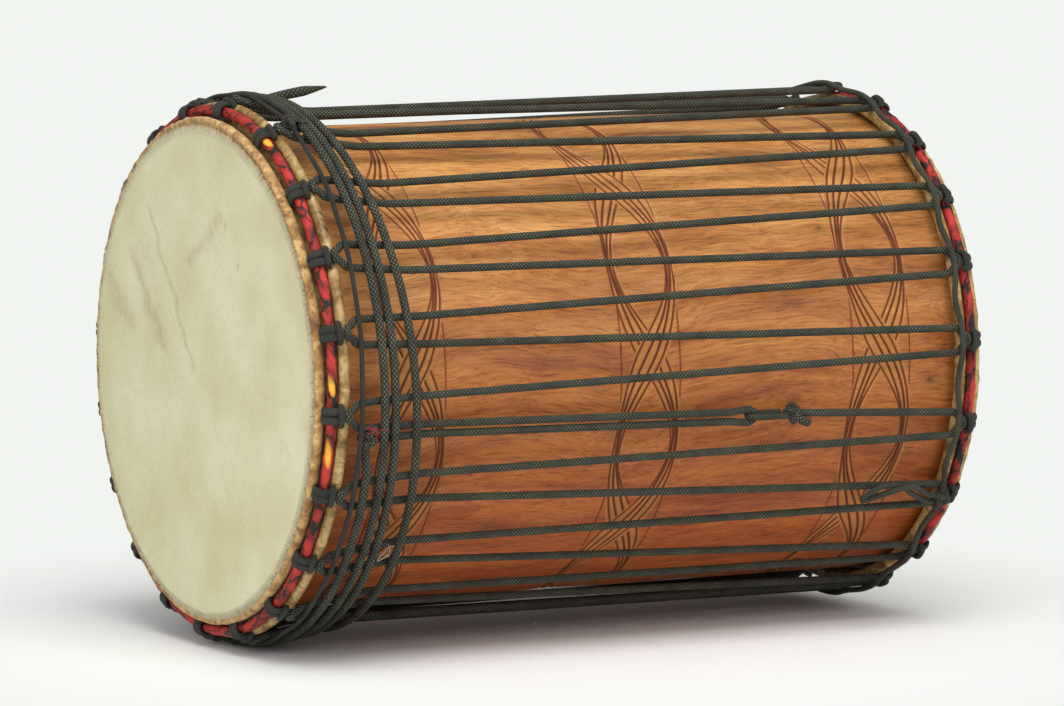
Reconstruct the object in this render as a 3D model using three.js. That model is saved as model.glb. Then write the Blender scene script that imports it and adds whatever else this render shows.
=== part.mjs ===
// A dunun: a two-headed West African bass drum, lying on its side.
// Millimetres, +Z up. The drum's axis runs along X, with the front head towards -X.
// The shell is a hollowed log. A hide closes each end. Each hide is rolled round a flesh ring and
// drawn down by a crown ring bound in cloth. Twenty rope loops are hitched round each crown ring,
// and one long lacing rope zigzags between the loops of the two ends.

import * as THREE from 'three';

const DEGREE = Math.PI / 180;
const FULL_TURN = 360;

// The shell, with its bearing edges
const shellLength = 484;
const shellRadius = 155.5;
const shellWall = 14;
const bearingEdgeWidth = 4;
const bearingEdgeDepth = 8;
const bearingEdgeRound = 2;

// The carving: in each band two gouged lines weave past each other round the log
const bandShares = [-0.702, 0, 0.715];
const bandSwing = 20;
const bandNarrowest = 2.6;
const bandCrossings = 8;
const bandCrossingAngle = -85.5;
const gougeWidth = 3.4;
const gougeDepth = 1.1;

// The hides: the head, the shaved collar outside it, and the roll round the flesh ring
const hideThickness = 2.1;
const rolledHideThickness = 1;
const headRound = 2.6;
const collarReach = 3.4;
const collarRise = 2.5;
const collarThickness = 1.2;
const collarFootDrop = 3.4;
const frontStemRise = 2.1;
const rearStemRise = 5.4;
const frontRollTilts = [-80, 235];
const rearRollTilts = [-30, 240];
const rollStemTurn = 30;

// The steel rings, the cloth bound round the crown rings, and where the rings sit. The front
// rings hang a little askew: their tops are drawn further down the shell.
const fleshRodRadius = 2.1;
const crownRodRadius = 2.3;
const clothThickness = 0.8;
const clothSeam = 1;
const clothSeamTilt = -95;
const frontCrownGap = 9.5;
const rearCrownGap = 5.4;
const frontCrownInset = 7.6;
const rearCrownInset = 5.6;
const frontFleshLean = 168.5;
const rearFleshLean = 192.3;
const frontRingTilt = 2.2;
const rearRingTilt = 0;

// The rope loops hitched round each crown ring
const loopsPerRing = 20;
const loopRopeDiameter = 3.6;
const hitchStrandSpacing = 4.8;
const hitchBarWidth = 7.4;
const hitchBarLift = 0.7;
const frontBarTilt = 114;
const rearBarTilt = 98;
const hitchStepTurn = 36;
const frontHitchSteps = 4;
const rearHitchSteps = 2;
const hitchCloseTurn = 15;
const hitchFit = 0.2;
const frontLoopPhase = 13.5;
const rearLoopPhase = 4.5;

// How far each loop has crept round its ring, in degrees, from loop 01 on. The front loops are
// counted over the top to the far side, and the rear ones the other way. Where the photo doesn't
// show them they are taken as even.
const frontLoopCreep = [
  0.5, 0, 0, 0, 0, 0, 0, 0, 0, 0, 0.5, 1, 0.8, 0.5, 0, -0.7, -2.3, -3.4, -1.8, 0.9,
];
const rearLoopCreep = [
  -2.5, -3.1, -2.9, -1.7, -0.3, -0.1, -1.1, -1.2, -2.9, -3.1, -2, -1, 0, 0, 0, 0, 0, 0, 0, -1.2,
];

// The reference ropes that run round each end, over the lacing
const frontChainDiameter = 3;
const rearChainDiameter = 3.8;
const frontChainDrop = 8.8;
const rearChainDrop = 4.6;

// The lacing rope: its turn at each loop, and its long spans
const lacingDiameter = 5;
const lacingTurnWidth = 5.8;
const lacingTurnRise = 0.8;
const lacingShoulderWidth = 11;
const lacingBaseWidth = 16;
const frontApexTilt = 96;
const frontShoulderTilt = 135;
const rearApexTilt = 74;
const rearShoulderTilt = 112;
const frontBaseDrop = 7.1;
const frontBaseRise = 4.3;
const rearBaseDrop = 5.1;
const rearBaseRise = 6.3;
const spanLift = 9.7;
const pressedLift = 15;
const pressedInset = 37;
const spanInset = 72;

// The eye that the lacing starts from, and where its end doubles back through the eye
const startLoop = 6;
const eyeInset = 170;
const eyeLength = 22;
const eyeRopeDiameter = 4;
const eyeKnotRadius = 6.5;
const eyeKnotLength = 12;
const eyeKnotRound = 2.5;
const returnSpacing = 6.2;
const returnSpread = 9.8;
const returnFlare = 12;

// The knot that ties the lacing off, and the spare rope wound round the front end
const tieKnotRadius = 4.8;
const tieKnotLength = 10;
const tieKnotRound = 1.8;
const tieKnotInset = 30.3;
const tieKnotAngle = -99.9;
const spareRopeDiameter = 5;
const spareRopeInset = 30;
const spareRopeSpread = 47;
const spareRopeShares = [
  0, 0.053, 0.053, 0.064, 0.255, 0.309, 0.206, 0.206,
  0.432, 0.521, 0.362, 0.355, 0.811, 0.936, 0.596, 0.489,
];
const spareRopeSharesPerTurn = 4;
const spareRopeRiseAngle = 6;
const spareRopeTurns = 3.68;
const tailLength = 44;
const tailRise = 7;
const tailBend = 5;

// The knots in the two reference ropes, and the doubled slip end of the rear one
const chainKnotRadius = 5.1;
const chainKnotLength = 8;
const chainKnotRound = 1.8;
const chainKnotRise = 1.3;
const frontKnotLoop = 18;
const rearKnotLoop = 7;
const slipEndReach = 52;
const slipEndSwing = 14;
const slipEndShares = [[0.265, 0.39], [0.42, 0.79], [0.6, 1], [0.82, 0.79], [1, 0.36]];
const slipEndSpacing = 5.2;
const slipEndRise = 0.4;

// Clearances, and how finely round forms are cut
const fit = 0.3;
const rodFit = 0.5;
const ropeFit = 0.35;
const ringFacets = 40;
const ringFacetPhase = 4.5;
const rodSides = 5;
const clothSides = 7;
const rollSides = 6;
const knotSides = 10;
const ropeSides = 5;
const woundRopeSides = 6;
const woundStepsPerTurn = 28;
const standFlatShare = 0.1;

const oiledWood = { color: 0x8a4a22, roughness: 0.55, metalness: 0 };
const hairyHide = { color: 0xd8cfb4, roughness: 0.9, metalness: 0 };
const steel = { color: 0x6a625a, roughness: 0.5, metalness: 0.9 };
const printedCloth = { color: 0x9c1f24, roughness: 0.85, metalness: 0 };
const braidedRope = { color: 0x3a3c33, roughness: 0.8, metalness: 0 };

// Sizes that follow from the ones above
const halfLength = shellLength / 2;
const hideInner = shellRadius + fit;
const hideOuter = hideInner + hideThickness;
const headStation = halfLength + fit + hideThickness;
const rolledInner = fleshRodRadius + rodFit;
const rolledOuter = rolledInner + rolledHideThickness;
const clothInner = crownRodRadius + rodFit;
const clothOuter = clothInner + clothThickness;
const ringSpacing = clothOuter + rolledOuter + fit;
const loopRope = loopRopeDiameter / 2;
const frontChain = frontChainDiameter / 2;
const rearChain = rearChainDiameter / 2;
const lacing = lacingDiameter / 2;
const eyeRope = eyeRopeDiameter / 2;
const spareRope = spareRopeDiameter / 2;
const loopPitch = FULL_TURN / loopsPerRing;
const spanRadius = shellRadius + spanLift;
const pressedRadius = shellRadius + pressedLift;
const pressedStation = halfLength - pressedInset;
const spanStation = halfLength - spanInset;
const eyeStation = halfLength - eyeInset;
const tieKnotStation = halfLength - tieKnotInset;

const drum = new THREE.Group();
drum.name = 'dunun';

// Each end of the drum is drawn with its own Y axis pointing out of its head
function endGroup(turn) {
  const end = new THREE.Group();
  end.rotation.z = turn;
  drum.add(end);
  return end;
}

const quarterTurn = Math.PI / 2;
const frontEnd = endGroup(quarterTurn);
const rearEnd = endGroup(-quarterTurn);

function add(parent, name, geometry, look) {
  const mesh = new THREE.Mesh(geometry, new THREE.MeshStandardMaterial(look));
  mesh.name = name;
  parent.add(mesh);
  return mesh;
}

// A section point: x is its radius and y its station along the axis.
// A tilt of 0 points out of the head, and 90 points away from the axis.
function polar(centre, radius, tilt) {
  return new THREE.Vector2(
    centre.x + radius * Math.sin(tilt * DEGREE),
    centre.y + radius * Math.cos(tilt * DEGREE),
  );
}

function arc(centre, radius, [from, to], steps) {
  return Array.from({ length: steps + 1 }, (_, i) => (
    polar(centre, radius, from + (to - from) * i / steps)
  ));
}

// Turns an outline round the axis. One that doesn't start on the axis is closed on itself.
// stationAt may move each of its points along the axis, for the angle that the point has reached.
function revolve(outline, stationAt = (point) => point.y) {
  const points = [...outline];
  if (THREE.ShapeUtils.area(points) < 0) points.reverse();
  if (points[0].x > 0) points.push(points[0]);
  const geometry = new THREE.LatheGeometry(
    points, ringFacets, ringFacetPhase * DEGREE, 2 * Math.PI,
  );
  const { position } = geometry.attributes;
  for (let i = 0; i < position.count; i += 1) {
    const step = Math.floor(i / points.length) % ringFacets;
    const angle = ringFacetPhase + FULL_TURN / ringFacets * step;
    position.setY(i, stationAt(points[i % points.length], angle));
  }
  return geometry;
}

// A rope's route. A ring of the tube falls on each of its points.
class Route extends THREE.Curve {
  constructor(points, closed = false) {
    super();
    this.points = points;
    this.closed = closed;
  }

  get spans() {
    return this.closed ? this.points.length : this.points.length - 1;
  }

  at(index) {
    const count = this.points.length;
    return this.closed ? this.points[(index + count) % count]
      : this.points[THREE.MathUtils.clamp(index, 0, count - 1)];
  }

  getPoint(share, target = new THREE.Vector3()) {
    return target.copy(this.at(Math.round(share * this.spans)));
  }

  getPointAt(share, target) {
    return this.getPoint(share, target);
  }

  getTangentAt(share, target = new THREE.Vector3()) {
    const index = Math.round(share * this.spans);
    const before = new THREE.Vector3().subVectors(this.at(index), this.at(index - 1));
    const after = new THREE.Vector3().subVectors(this.at(index + 1), this.at(index));
    return target.addVectors(before.normalize(), after.normalize()).normalize();
  }
}

function regularSection(radius, sides) {
  return new THREE.Shape(Array.from({ length: sides }, (_, i) => new THREE.Vector2(
    radius * Math.cos(2 * Math.PI * i / sides),
    radius * Math.sin(2 * Math.PI * i / sides),
  )));
}

function openRope(points, radius, sides) {
  const extrudePath = new Route(points);
  return new THREE.ExtrudeGeometry(regularSection(radius, sides), {
    steps: extrudePath.spans,
    extrudePath,
    bevelEnabled: false,
  });
}

function closedRope(points, radius, sides) {
  const route = new Route(points, true);
  return new THREE.TubeGeometry(route, route.spans, radius, sides, true);
}

// The least gap between two stretches of one rope, measured on points along its route
function leastGap(points, radius, closed) {
  const samples = [];
  const spans = closed ? points.length : points.length - 1;
  let travelled = 0;
  for (let i = 0; i < spans; i += 1) {
    const next = points[(i + 1) % points.length];
    const length = points[i].distanceTo(next);
    const parts = Math.ceil(length / radius);
    for (let part = 0; part < parts; part += 1) {
      const place = points[i].clone().lerp(next, part / parts);
      samples.push({ place, along: travelled + length * part / parts });
    }
    travelled += length;
  }
  const turnLength = 2 * Math.PI * radius;
  let least = Infinity;
  for (let i = 0; i < samples.length; i += 1) {
    for (let j = i + 1; j < samples.length; j += 1) {
      const apart = samples[j].along - samples[i].along;
      const shorter = closed ? Math.min(apart, travelled - apart) : apart;
      if (shorter > turnLength) {
        least = Math.min(least, samples[i].place.distanceToSquared(samples[j].place));
      }
    }
  }
  return Math.sqrt(least) - 2 * radius;
}

function report(name, points, radius, closed = false) {
  console.log(`${name}: least gap to itself ${leastGap(points, radius, closed).toFixed(2)} mm`);
}

// A point of the drum: its place along X, its radius, its angle from the top, and a shift
// along the rim. The angle grows towards +Y.
function drumPoint(place, radius, angle, along = 0) {
  const sine = Math.sin(angle * DEGREE);
  const cosine = Math.cos(angle * DEGREE);
  return new THREE.Vector3(
    place,
    radius * sine + along * cosine,
    radius * cosine - along * sine,
  );
}

// A section point in the frame of one end, where Y points out of the head
function endPoint(section, angle, along = 0) {
  const { x, y, z } = drumPoint(section.y, section.x, angle, along);
  return new THREE.Vector3(y, x, z);
}

// Where the rings of one end sit, and how far their plane leans: a point's station drops by the
// tilt at the top, and rises by it at the bottom
function ringSection(crownGap, crownInset, fleshLean, tilt) {
  const crown = new THREE.Vector2(hideOuter + crownGap, halfLength - crownInset);
  const flesh = polar(crown, ringSpacing, fleshLean);
  const drop = (angle) => tilt * Math.cos(angle * DEGREE);
  return { crown, flesh, drop };
}

const frontRings = ringSection(frontCrownGap, frontCrownInset, frontFleshLean, frontRingTilt);
const rearRings = ringSection(rearCrownGap, rearCrownInset, rearFleshLean, rearRingTilt);

// A loop's angle from the top. The index may run past the loops of one turn.
function frontLoopAngle(index) {
  const creep = frontLoopCreep[THREE.MathUtils.euclideanModulo(index, loopsPerRing)];
  return frontLoopPhase + loopPitch * index + creep;
}

function rearLoopAngle(index) {
  const creep = rearLoopCreep[THREE.MathUtils.euclideanModulo(index, loopsPerRing)];
  return rearLoopPhase - loopPitch * index + creep;
}

function ringPoint({ drop }, section, angle, along = 0) {
  return endPoint(new THREE.Vector2(section.x, section.y - drop(angle)), angle, along);
}

// Shell: a straight cylinder, bevelled inwards to each bearing edge, with the gouged lines of its
// three bands. A point of a gouged line keeps the side of its band that it is on.
function shellOutline() {
  const inner = shellRadius - shellWall;
  const edge = shellRadius - bearingEdgeRound;
  const half = [
    new THREE.Vector2(shellRadius, halfLength - bearingEdgeRound),
    new THREE.Vector2(edge, halfLength),
    new THREE.Vector2(edge - bearingEdgeWidth, halfLength),
    new THREE.Vector2(inner, halfLength - bearingEdgeDepth),
  ];
  const mirrored = half.map((point) => new THREE.Vector2(point.x, -point.y)).reverse();
  const gouges = bandShares.flatMap((share) => [-1, 1].flatMap((side) => [-1, 0, 1].map((lip) => {
    const depth = lip === 0 ? gougeDepth : 0;
    const station = halfLength * share + side * bandNarrowest + lip * gougeWidth / 2;
    const point = new THREE.Vector2(shellRadius - depth, station);
    point.side = side;
    return point;
  })));
  return [...half, ...mirrored, ...gouges];
}

// The lines of a band swing apart between two crossings, and close up at each. The shell is drawn
// with the rear end, whose angles grow the other way.
function gougeStation(point, angle) {
  if (!point.side) return point.y;
  const halfTurns = bandCrossings / 2 * (angle + bandCrossingAngle) * DEGREE;
  return point.y + point.side * bandSwing * Math.abs(Math.sin(halfTurns));
}

// Hide: the head, its side, the collar, and the roll, which is open along its free edge
function hideOutline({ flesh }, stemRise, rollTilts) {
  const [stemTilt, rollEnd] = rollTilts;
  const headEdge = headStation - headRound;
  const collarFoot = headEdge - collarFootDrop;
  const collarTip = headEdge + collarRise;
  const stemFoot = flesh.y + stemRise;
  const stemInside = polar(flesh, rolledOuter, stemTilt - rollStemTurn);
  return [
    new THREE.Vector2(0, headStation),
    new THREE.Vector2(hideOuter - headRound, headStation),
    new THREE.Vector2(hideOuter, headEdge),
    new THREE.Vector2(hideOuter + collarReach, collarTip),
    new THREE.Vector2(hideOuter + collarReach + collarThickness, collarTip - collarThickness),
    new THREE.Vector2(hideOuter, collarFoot),
    new THREE.Vector2(hideOuter, stemFoot),
    ...arc(flesh, rolledOuter, [stemTilt, rollEnd], rollSides),
    ...arc(flesh, rolledInner, [rollEnd, stemTilt - rollStemTurn / 2], rollSides),
    new THREE.Vector2(Math.max(stemInside.x, hideInner), stemInside.y),
    new THREE.Vector2(hideInner, Math.min(stemInside.y, stemFoot) - hideThickness),
    new THREE.Vector2(hideInner, halfLength + fit),
    new THREE.Vector2(0, halfLength + fit),
  ].reverse();
}

function rodOutline(centre, radius) {
  return arc(centre, radius, [0, FULL_TURN], rodSides).slice(1);
}

// Cloth bound round a crown ring, with its seam turned to the hide
function clothOutline(centre) {
  const halfSeam = clothSeam / clothOuter / DEGREE / 2;
  const from = clothSeamTilt + halfSeam;
  const to = clothSeamTilt + FULL_TURN - halfSeam;
  return [
    ...arc(centre, clothOuter, [from, to], clothSides),
    ...arc(centre, clothInner, [to, from], clothSides),
  ];
}

// What hangs on a ring leans with it, and the head above it doesn't
function leaning({ crown, drop }) {
  return (point, angle) => (point.y > crown.y + clothOuter ? point.y : point.y - drop(angle));
}

add(rearEnd, 'shell', revolve(shellOutline(), gougeStation), oiledWood);
for (const [end, side, rings, stemRise, rollTilts] of [
  [frontEnd, 'front', frontRings, frontStemRise, frontRollTilts],
  [rearEnd, 'rear', rearRings, rearStemRise, rearRollTilts],
]) {
  const lean = leaning(rings);
  add(end, `${side}_head`, revolve(hideOutline(rings, stemRise, rollTilts), lean), hairyHide);
  add(end, `${side}_flesh_ring`, revolve(rodOutline(rings.flesh, fleshRodRadius), lean), steel);
  add(end, `${side}_crown_ring`, revolve(rodOutline(rings.crown, crownRodRadius), lean), steel);
  add(end, `${side}_crown_cloth`, revolve(clothOutline(rings.crown), lean), printedCloth);
}

// A hitch: two strands over the crown ring, joined by a bar on the ring's outer side, and turned
// back at the collar, where the rope is squeezed out of sight
function hitchPoints(rings, barTilt, steps, angle) {
  const { crown } = rings;
  const wrap = (clothOuter + hitchFit + loopRope) / Math.cos(hitchStepTurn / 2 * DEGREE);
  const barRadius = clothOuter + hitchFit + loopRope + hitchBarLift;
  const firstTilt = barTilt - hitchStepTurn;
  const strand = Array.from({ length: steps }, (_, i) => (
    polar(crown, wrap, firstTilt - hitchStepTurn * i)
  ));
  const closeTilt = firstTilt - hitchStepTurn * (steps - 1) - hitchCloseTurn;
  const halfStrand = hitchStrandSpacing / 2;
  const halfBar = hitchBarWidth / 2;
  const bar = polar(crown, barRadius, barTilt);
  return [
    ringPoint(rings, bar, angle, -halfBar),
    ringPoint(rings, bar, angle, halfBar),
    ...strand.map((point) => ringPoint(rings, point, angle, halfStrand)),
    ringPoint(rings, polar(crown, wrap, closeTilt), angle),
    ...strand.reverse().map((point) => ringPoint(rings, point, angle, -halfStrand)),
  ];
}

// Cuts a flat where a rope touches the surface that the drum lies on
function standOn(geometry, diameter) {
  geometry.computeBoundingBox();
  const level = geometry.boundingBox.min.z + diameter * standFlatShare;
  const { position } = geometry.attributes;
  for (let i = 0; i < position.count; i += 1) {
    position.setZ(i, Math.max(position.getZ(i), level));
  }
  return geometry;
}

function addLoops(end, side, rings, barTilt, steps, angleAt) {
  for (let i = 0; i < loopsPerRing; i += 1) {
    const points = hitchPoints(rings, barTilt, steps, angleAt(i));
    if (i === 0) report(`${side} loop`, points, loopRope, true);
    const number = String(i + 1).padStart(2, '0');
    const loop = closedRope(points, loopRope, ropeSides);
    add(end, `${side}_loop_${number}`, loop, braidedRope);
  }
}

// The rear end's own angles grow the other way
const rearEndAngle = (index) => -rearLoopAngle(index);
addLoops(frontEnd, 'front', frontRings, frontBarTilt, frontHitchSteps, frontLoopAngle);
addLoops(rearEnd, 'rear', rearRings, rearBarTilt, rearHitchSteps, rearEndAngle);

// Where the lacing turns at a loop, and where its two strands leave for the other end
const seatOnRoll = rolledOuter + ropeFit + lacing;
const frontApex = polar(frontRings.flesh, seatOnRoll, frontApexTilt);
const frontCrest = polar(frontRings.flesh, seatOnRoll + lacingTurnRise, frontApexTilt);
const frontShoulder = polar(frontRings.flesh, seatOnRoll + lacingTurnRise, frontShoulderTilt);
const rearApex = polar(rearRings.flesh, seatOnRoll, rearApexTilt);
const rearCrest = polar(rearRings.flesh, seatOnRoll + lacingTurnRise, rearApexTilt);
const rearShoulder = polar(rearRings.flesh, seatOnRoll + lacingTurnRise, rearShoulderTilt);
const frontBase = new THREE.Vector2(
  frontRings.flesh.x + frontBaseRise,
  frontRings.flesh.y - frontBaseDrop,
);
const rearBase = new THREE.Vector2(
  rearRings.flesh.x + rearBaseRise,
  rearRings.flesh.y - rearBaseDrop,
);

// Reference rope: it lies over the lacing, straight from one loop to the next, and is cut where
// its ends meet in a knot, between the two strands of the lacing
function chainPoints(rings, section, angleAt, knotLoop) {
  const half = lacingBaseWidth / 2;
  const cut = chainKnotLength / 2 + fit;
  const place = (index, along) => ringPoint(rings, section, angleAt(index), along);
  const points = [place(knotLoop, cut), place(knotLoop, half)];
  for (let i = 1; i < loopsPerRing; i += 1) {
    points.push(place(knotLoop + i, -half), place(knotLoop + i, half));
  }
  points.push(place(knotLoop, -half), place(knotLoop, -cut));
  return points;
}

const frontChainSection = new THREE.Vector2(
  frontBase.x + lacing + ropeFit + frontChain,
  frontRings.flesh.y - frontChainDrop,
);
const rearChainSection = new THREE.Vector2(
  rearBase.x + lacing + ropeFit + rearChain,
  rearRings.flesh.y - rearChainDrop,
);
const frontChainRoute = chainPoints(frontRings, frontChainSection, frontLoopAngle, frontKnotLoop);
const rearChainRoute = chainPoints(rearRings, rearChainSection, rearEndAngle, rearKnotLoop);
add(frontEnd, 'front_chain_rope', openRope(frontChainRoute, frontChain, ropeSides), braidedRope);
add(rearEnd, 'rear_chain_rope', openRope(rearChainRoute, rearChain, ropeSides), braidedRope);

// One turn of the lacing at a loop, from its upper strand to its lower one
function turnPoints(place, base, shoulder, apex, crest) {
  return [
    place(base, lacingBaseWidth / 2),
    place(shoulder, lacingShoulderWidth / 2),
    place(apex, lacingTurnWidth / 2),
    place(crest, 0),
    place(apex, -lacingTurnWidth / 2),
    place(shoulder, -lacingShoulderWidth / 2),
    place(base, -lacingBaseWidth / 2),
  ];
}

function frontTurn(angle) {
  const drop = frontRings.drop(angle);
  const place = (section, along) => drumPoint(drop - section.y, section.x, angle, along);
  return turnPoints(place, frontBase, frontShoulder, frontApex, frontCrest);
}

function rearTurn(angle) {
  const drop = rearRings.drop(angle);
  const place = (section, along) => drumPoint(section.y - drop, section.x, angle, along);
  return turnPoints(place, rearBase, rearShoulder, rearApex, rearCrest);
}

// A span's angle at a place along X, between the loops that it joins
function spanAngle(frontAngle, rearAngle, place) {
  const share = (place + frontBase.y) / (frontBase.y + rearBase.y);
  return frontAngle + (rearAngle - frontAngle) * share;
}

// The stretch of a span that the spare rope presses down, from the front to the middle
function pressedPoints(frontAngle, rearAngle) {
  return [[-pressedStation, pressedRadius], [-spanStation, spanRadius]].map(([place, radius]) => (
    drumPoint(place, radius, spanAngle(frontAngle, rearAngle, place))
  ));
}

const frontBaseTurn = Math.atan(lacingBaseWidth / 2 / frontBase.x) / DEGREE;
const rearBaseTurn = Math.atan(lacingBaseWidth / 2 / rearBase.x) / DEGREE;
const firstFrontAngle = frontLoopAngle(-startLoop) - frontBaseTurn;
const firstRearAngle = rearLoopAngle(startLoop) + rearBaseTurn;
const eyeAngle = spanAngle(firstFrontAngle, firstRearAngle, eyeStation);
const eyeKnotPlace = eyeStation + eyeLength;

// A radius on the steep part of the spans, next to the front loops, where it is steepest
function frontSpanRadius(station) {
  const share = (station - pressedStation) / (frontBase.y - frontRingTilt - pressedStation);
  if (share > 0) return pressedRadius + (frontBase.x - pressedRadius) * share;
  const lower = (station - spanStation) / (pressedStation - spanStation);
  return spanRadius + (pressedRadius - spanRadius) * lower;
}

// The tie knot lies along the lacing's last stretch
const tieKnotAxisRadius = frontSpanRadius(tieKnotStation);
const tieKnotPlace = drumPoint(-tieKnotStation, tieKnotAxisRadius, tieKnotAngle);
const tieKnotDirection = tieKnotPlace.clone()
  .sub(drumPoint(-pressedStation, pressedRadius, tieKnotAngle)).normalize();

// The lacing starts behind the eye's knot, visits every loop, and doubles back through the eye
function lacingPoints() {
  const points = [drumPoint(eyeKnotPlace + eyeKnotLength + fit, spanRadius, eyeAngle)];
  for (let i = 0; i < loopsPerRing; i += 1) {
    const rearAngle = rearLoopAngle(startLoop + i);
    const frontAngle = frontLoopAngle(-startLoop - 1 - i);
    const lower = rearAngle - rearBaseTurn;
    const upper = frontAngle + frontBaseTurn;
    points.push(...rearTurn(rearAngle));
    points.push(...pressedPoints(upper, lower).reverse());
    points.push(...frontTurn(frontAngle));
    const nextRear = rearLoopAngle(startLoop + i + 1) + rearBaseTurn;
    points.push(...pressedPoints(frontAngle - frontBaseTurn, nextRear));
  }
  const half = returnSpread / 2;
  points.push(
    drumPoint(eyeStation - half - returnFlare, spanRadius, eyeAngle, returnSpacing / 2),
    drumPoint(eyeStation - half, spanRadius, eyeAngle, half),
    drumPoint(eyeStation, spanRadius, eyeAngle, half / 2),
    drumPoint(eyeStation, spanRadius, eyeAngle, -half / 2),
    drumPoint(eyeStation - half, spanRadius, eyeAngle, -half),
    drumPoint(eyeStation - half - returnFlare, spanRadius, eyeAngle, -returnSpacing / 2),
    drumPoint(-spanStation, spanRadius, tieKnotAngle),
    drumPoint(-pressedStation, pressedRadius, tieKnotAngle),
    tieKnotPlace.clone().addScaledVector(tieKnotDirection, -tieKnotLength / 2 - fit),
  );
  return points;
}

const lacingRoute = lacingPoints();
report('lacing rope', lacingRoute, lacing);
add(drum, 'lacing_rope', openRope(lacingRoute, lacing, ropeSides), braidedRope);

// The eye: a hairpin of rope that holds the lacing's doubled end, closed by a knot
function eyePoints() {
  const reach = lacing + ropeFit + eyeRope;
  const end = eyeKnotPlace - fit;
  const place = (station, rise) => drumPoint(station, spanRadius + rise, eyeAngle);
  return [
    place(end, reach),
    place(eyeStation, reach),
    place(eyeStation - reach * Math.sin(quarterTurn / 2), reach * Math.cos(quarterTurn / 2)),
    place(eyeStation - reach, 0),
    place(eyeStation - reach * Math.sin(quarterTurn / 2), -reach * Math.cos(quarterTurn / 2)),
    place(eyeStation, -reach),
    place(end, -reach),
  ];
}

add(drum, 'lacing_eye', openRope(eyePoints(), eyeRope, woundRopeSides), braidedRope);

// A knot: a short barrel with rounded ends
function knotGeometry(radius, length, round) {
  const end = length / 2;
  return new THREE.LatheGeometry([
    new THREE.Vector2(0, -end),
    new THREE.Vector2(radius - round, -end),
    new THREE.Vector2(radius, round - end),
    new THREE.Vector2(radius, end - round),
    new THREE.Vector2(radius - round, end),
    new THREE.Vector2(0, end),
  ], knotSides);
}

function addKnot(name, geometry, place, direction) {
  const knot = add(drum, name, geometry, braidedRope);
  knot.position.copy(place);
  knot.quaternion.setFromUnitVectors(new THREE.Vector3(0, 1, 0), direction);
}

const alongDrum = new THREE.Vector3(1, 0, 0);
addKnot(
  'lacing_eye_knot',
  knotGeometry(eyeKnotRadius, eyeKnotLength, eyeKnotRound),
  drumPoint(eyeKnotPlace + eyeKnotLength / 2, spanRadius, eyeAngle),
  alongDrum,
);
addKnot(
  'lacing_tie_knot',
  knotGeometry(tieKnotRadius, tieKnotLength, tieKnotRound),
  tieKnotPlace,
  tieKnotDirection,
);

// The spare rope: it leaves the tie knot, winds round the front end over the lacing, and ends
// in a free tail that points along the drum
function spareRopePoints() {
  const steepRun = frontBase.y - pressedStation;
  const steepRise = frontBase.x - pressedRadius;
  const lift = (lacing + spareRope + ropeFit) * Math.hypot(steepRun, steepRise) / steepRun;
  const stepTurn = FULL_TURN / woundStepsPerTurn;
  const bulge = 1 / Math.cos(stepTurn / 2 * DEGREE);
  const station = (turn) => {
    const place = spareRopeSharesPerTurn * turn;
    const whole = Math.floor(place);
    const [near, far] = spareRopeShares.slice(whole, whole + 2);
    const share = near + (far - near) * (place - whole);
    return halfLength - spareRopeInset - spareRopeSpread * share;
  };
  const exit = tieKnotRadius + fit;
  const coilStart = tieKnotAngle - spareRopeRiseAngle;
  const steps = Math.round(spareRopeTurns * woundStepsPerTurn);
  const knotPlace = -tieKnotStation;
  const points = [
    drumPoint(knotPlace, tieKnotAxisRadius, tieKnotAngle, -exit),
    drumPoint(knotPlace, tieKnotAxisRadius, tieKnotAngle, -exit - spareRopeDiameter),
  ];
  for (let i = 0; i <= steps; i += 1) {
    const place = station(i / woundStepsPerTurn);
    const radius = (frontSpanRadius(place) + lift) * bulge;
    points.push(drumPoint(-place, radius, coilStart - stepTurn * i));
  }
  const root = points.at(-1);
  const beyond = root.clone().sub(points.at(-2)).setLength(tailBend);
  const bend = root.clone().add(beyond).add(new THREE.Vector3(tailBend / 2, 0, 0));
  points.push(bend);
  points.push(bend.clone().add(new THREE.Vector3(tailBend, 0, tailBend / 4)));
  points.push(bend.clone().add(new THREE.Vector3(tailLength, 0, tailRise)));
  return points;
}

const spareRopeRoute = spareRopePoints();
report('spare rope', spareRopeRoute, spareRope);
const spareRopeTube = openRope(spareRopeRoute, spareRope, woundRopeSides);
add(drum, 'spare_rope_winding', standOn(spareRopeTube, spareRopeDiameter), braidedRope);

// The knots of the reference ropes lie along them and stand out a little
const chainKnot = knotGeometry(chainKnotRadius, chainKnotLength, chainKnotRound);
const frontKnotAngle = frontLoopAngle(frontKnotLoop);
const frontKnotStation = frontChainSection.y - frontRings.drop(frontKnotAngle);
const rearKnotAngle = rearLoopAngle(rearKnotLoop);
addKnot(
  'front_chain_knot',
  chainKnot,
  drumPoint(-frontKnotStation, frontChainSection.x + chainKnotRise, frontKnotAngle),
  drumPoint(0, 0, frontKnotAngle, 1),
);
addKnot(
  'rear_chain_knot',
  chainKnot,
  drumPoint(rearChainSection.y, rearChainSection.x + chainKnotRise, rearKnotAngle),
  drumPoint(0, 0, rearKnotAngle, 1),
);

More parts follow.
